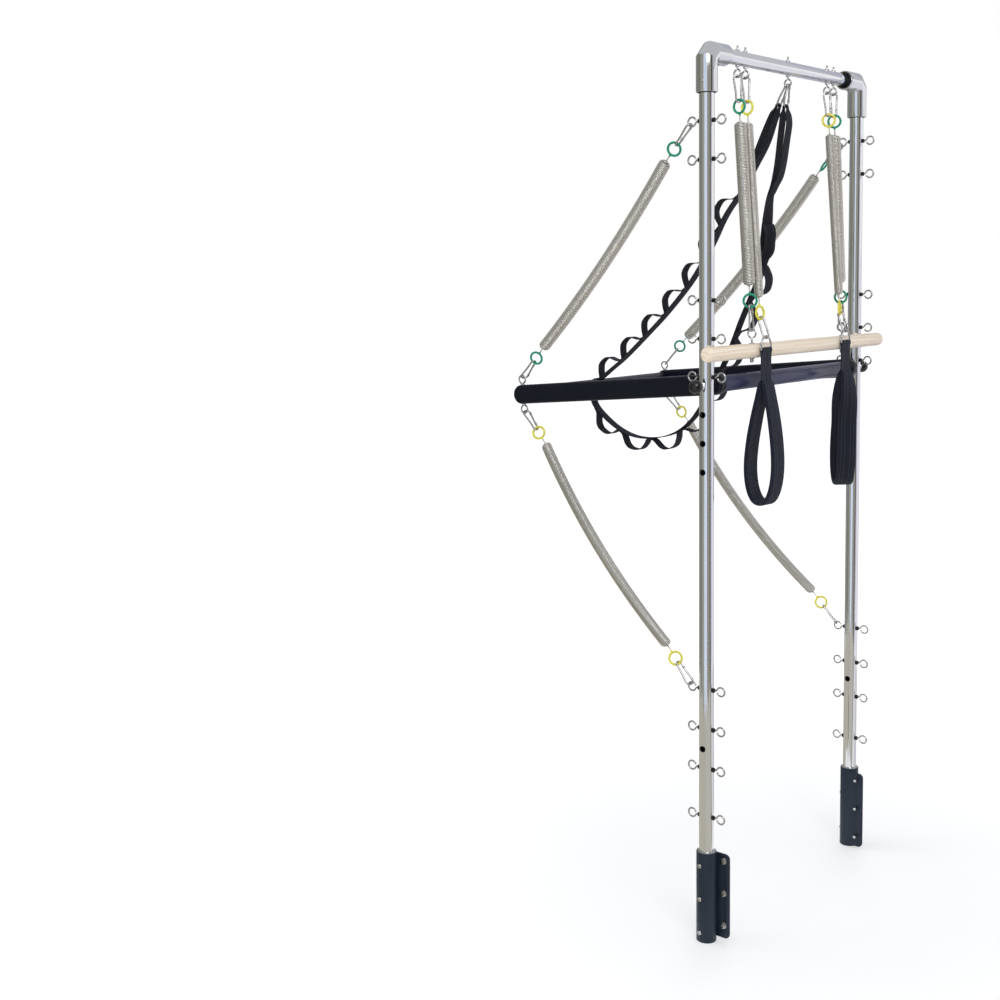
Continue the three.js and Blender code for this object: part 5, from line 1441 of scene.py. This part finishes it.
class TOWER_OT_ladder_strap(bpy.types.Operator):
    """Models the ladder strap with its row of loops and its two clips"""

    bl_idname = "tower.ladder_strap"
    bl_label = "Ladder strap"

    def spot(self, share):
        size = sizes()
        return Vector((share[0] * size.bar_length, 0,
                       size.pivot_z + share[1] * (size.crossbar_eye_z - size.pivot_z)))

    def execute(self, context):
        size = sizes()
        model = clip_model(STRAP_CLIP_REACH, 0.0056, 0.0086)
        feet = []
        for index, (node, spread, lean) in enumerate(STRAP_CLIPS):
            seat = size.crossbar_eye_radius - CLIP_SEAT
            spread, lean = math.radians(spread), math.radians(lean)
            nose = Vector((-seat * math.sin(spread), 0, size.crossbar_eye_z - seat * math.cos(spread)))
            along = Vector((-math.sin(lean), 0, -math.cos(lean)))
            feet.append(nose + along * STRAP_CLIP_REACH)
            settle(copy_of(model, frame_of(nose, -along, AXIS_Y)), f"strap_clip_{index + 1}", "tower", "zinc",
                   "zinc_plate", node)
        bpy.data.objects.remove(model)
        line = self.whole_line(feet)
        main = self.main_line(line)
        piece = join(self.strap(line, feet), *self.rungs(main))
        settle(piece, "webbing_ladder", None, "webbing", "webbing", "ladder_strap")
        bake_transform(piece)
        return {"FINISHED"}

    def whole_line(self, feet):
        """From the first sewn end over its clip, down, round the bar, up and over the second clip."""

        def round_spot(centre, radius, angles):
            return [centre + Vector((math.cos(math.radians(a)), 0, math.sin(math.radians(a)))) * radius
                    for a in angles]

        def flat(pairs):
            return [Vector((x, 0, z)) for x, z in pairs]

        hook = (195, 150, 90, 30, -15)
        points = flat(FIRST_LEGS[0]) + round_spot(feet[0], 0.0047, hook) + flat(FIRST_LEGS[1])
        points += [self.spot(s) for s in FALLING_SHARES] + round_spot(
            SWING_TUBE, 0.0192, (70, 95, 120, 145, 170, 190))
        points += [self.spot(s) for s in RISING_SHARES] + flat(SECOND_LEGS[0])
        points += round_spot(feet[1], 0.0047, hook) + flat(SECOND_LEGS[1])
        return curve_through(points, False, 5)

    def main_line(self, line):
        """The middle of the strap, between the ends of its two loops."""
        first, last = self.spot(FALLING_SHARES[0]), self.spot(RISING_SHARES[-1])
        ends = [min(range(len(line)), key=lambda k: (line[k] - spot).length) for spot in (first, last)]
        return line[ends[0]:ends[1] + 1]

    def twist_at(self, spot):
        """The riser turns to face the end of the bed near its top."""
        falling = spot.x < -0.13 or spot.x < -0.08 and spot.z > 1.5
        if falling or not TURNED_FROM < spot.z < TURNED_TO:
            return 0.0
        return RISER_TURN * math.sin(math.pi * ease(spot.z, TURNED_FROM, TURNED_TO))

    def sections(self, line):
        """Each place on the strap's line, with the ways across its width and through its thickness."""
        for spot, way in zip(line, ways_along(line)):
            normal = Vector((way.z, 0, -way.x)).normalized()
            turn = self.twist_at(spot)
            yield (spot, AXIS_Y * math.cos(turn) + normal * math.sin(turn),
                   normal * math.cos(turn) - AXIS_Y * math.sin(turn))

    def strap(self, line, feet):
        """The strap narrows where it runs through a clip."""
        stations = []
        for spot, broad, deep in self.sections(line):
            near = min((spot - foot).length for foot in feet)
            share = ease(near, 0.0055, 0.02)
            width = 0.009 + (sizes().strap_width - 0.009) * share
            stations.append((spot, broad, deep, width, 0.0042 + (STRAP_THICKNESS - 0.0042) * share))
        return band(stations, False, 2)

    def rungs(self, main):
        """The sewn-on loops, from the strap's first end to the bar and from the bar up the riser."""
        run = [0.0]
        for a, b in zip(main, main[1:]):
            run.append(run[-1] + (b - a).length)
        ways = ways_along(main)

        def at(distance):
            i = min(max(k for k, mark in enumerate(run) if mark <= distance), len(main) - 2)
            share = (distance - run[i]) / (run[i + 1] - run[i])
            return main[i].lerp(main[i + 1], share), ways[i].lerp(ways[i + 1], share).normalized()

        bar_mark = run[min(range(len(main)), key=lambda k: (main[k] - Vector((-0.5484, 0, 1.1867))).length)]
        rungs = []
        for start, pitch, last in ((0.03, LADDER_PITCH, bar_mark), (bar_mark + 0.075, RISER_PITCH, run[-1])):
            chord = pitch * 0.95
            while start + chord < last:
                line, marks = [], []
                for along, rise in RUNG_OUTLINE:
                    spot, way = at(start + chord * along)
                    normal = Vector((way.z, 0, -way.x)).normalized()
                    turn = self.twist_at(spot)
                    deep = normal * math.cos(turn) - AXIS_Y * math.sin(turn)
                    line.append(spot + deep * (0.0016 + RUNG_RISE * rise))
                    marks.append(spot)
                fine = curve_through(line, False, 3)
                spots = curve_through(marks, False, 3)
                rungs.append(band(self.rung_sections(fine, spots), False, 2))
                start += pitch
        return rungs

    def rung_sections(self, line, marks):
        stations = []
        for spot, mark, way in zip(line, marks, ways_along(line)):
            level = Vector((way.z, 0, -way.x)).normalized()
            turn = self.twist_at(mark)
            broad = AXIS_Y * math.cos(turn) + level * math.sin(turn)
            broad = (broad - way * broad.dot(way)).normalized()
            deep = broad.cross(way).normalized() * -1
            stations.append((spot, broad, deep, sizes().strap_width * 0.97, 0.0019))
        return stations


class TOWER_PT_panel(bpy.types.Panel):
    """Lists the tower's pieces"""

    bl_idname = "TOWER_PT_panel"
    bl_label = "Pilates tower"
    bl_space_type = "VIEW_3D"
    bl_region_type = "UI"
    bl_category = "Tower"

    def draw(self, context):
        for operator in OPERATORS:
            self.layout.operator(operator.bl_idname)
        for group in (context.scene.tower_sizes, context.scene.tower_colours):
            box = self.layout.box()
            for name in group.bl_rna.properties.keys():
                if name not in ("rna_type", "name"):
                    box.prop(group, name)


OPERATORS = (
    TOWER_OT_stage, TOWER_OT_finishes, TOWER_OT_uprights, TOWER_OT_crossbar, TOWER_OT_elbows, TOWER_OT_sockets,
    TOWER_OT_eyebolts, TOWER_OT_push_bar, TOWER_OT_pull_pins, TOWER_OT_push_springs, TOWER_OT_roll_down,
    TOWER_OT_handles, TOWER_OT_ladder_strap)
CLASSES = (TowerSizes, TowerColours, *OPERATORS, TOWER_PT_panel)


def register():
    for cls in CLASSES:
        bpy.utils.register_class(cls)
    bpy.types.Scene.tower_sizes = PointerProperty(type=TowerSizes)
    bpy.types.Scene.tower_colours = PointerProperty(type=TowerColours)


def unregister():
    del bpy.types.Scene.tower_colours
    del bpy.types.Scene.tower_sizes
    for cls in reversed(CLASSES):
        bpy.utils.unregister_class(cls)


def clear_start_scene():
    """Takes away the cube, lamp and camera that a new file opens with."""
    for name in ("Cube", "Light", "Camera"):
        if name in bpy.data.objects:
            bpy.data.objects.remove(bpy.data.objects[name])


def main():
    register()
    clear_start_scene()
    deselect()
    bpy.ops.tower.stage()
    bpy.ops.tower.finishes()
    bpy.ops.tower.uprights()
    bpy.ops.tower.crossbar()
    bpy.ops.tower.elbows()
    bpy.ops.tower.sockets()
    bpy.ops.tower.eyebolts()
    bpy.ops.tower.push_bar()
    bpy.ops.tower.pull_pins()
    bpy.ops.tower.push_springs()
    bpy.ops.tower.roll_down()
    bpy.ops.tower.handles()
    bpy.ops.tower.ladder_strap()
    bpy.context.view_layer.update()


if __name__ == "__main__":
    main()
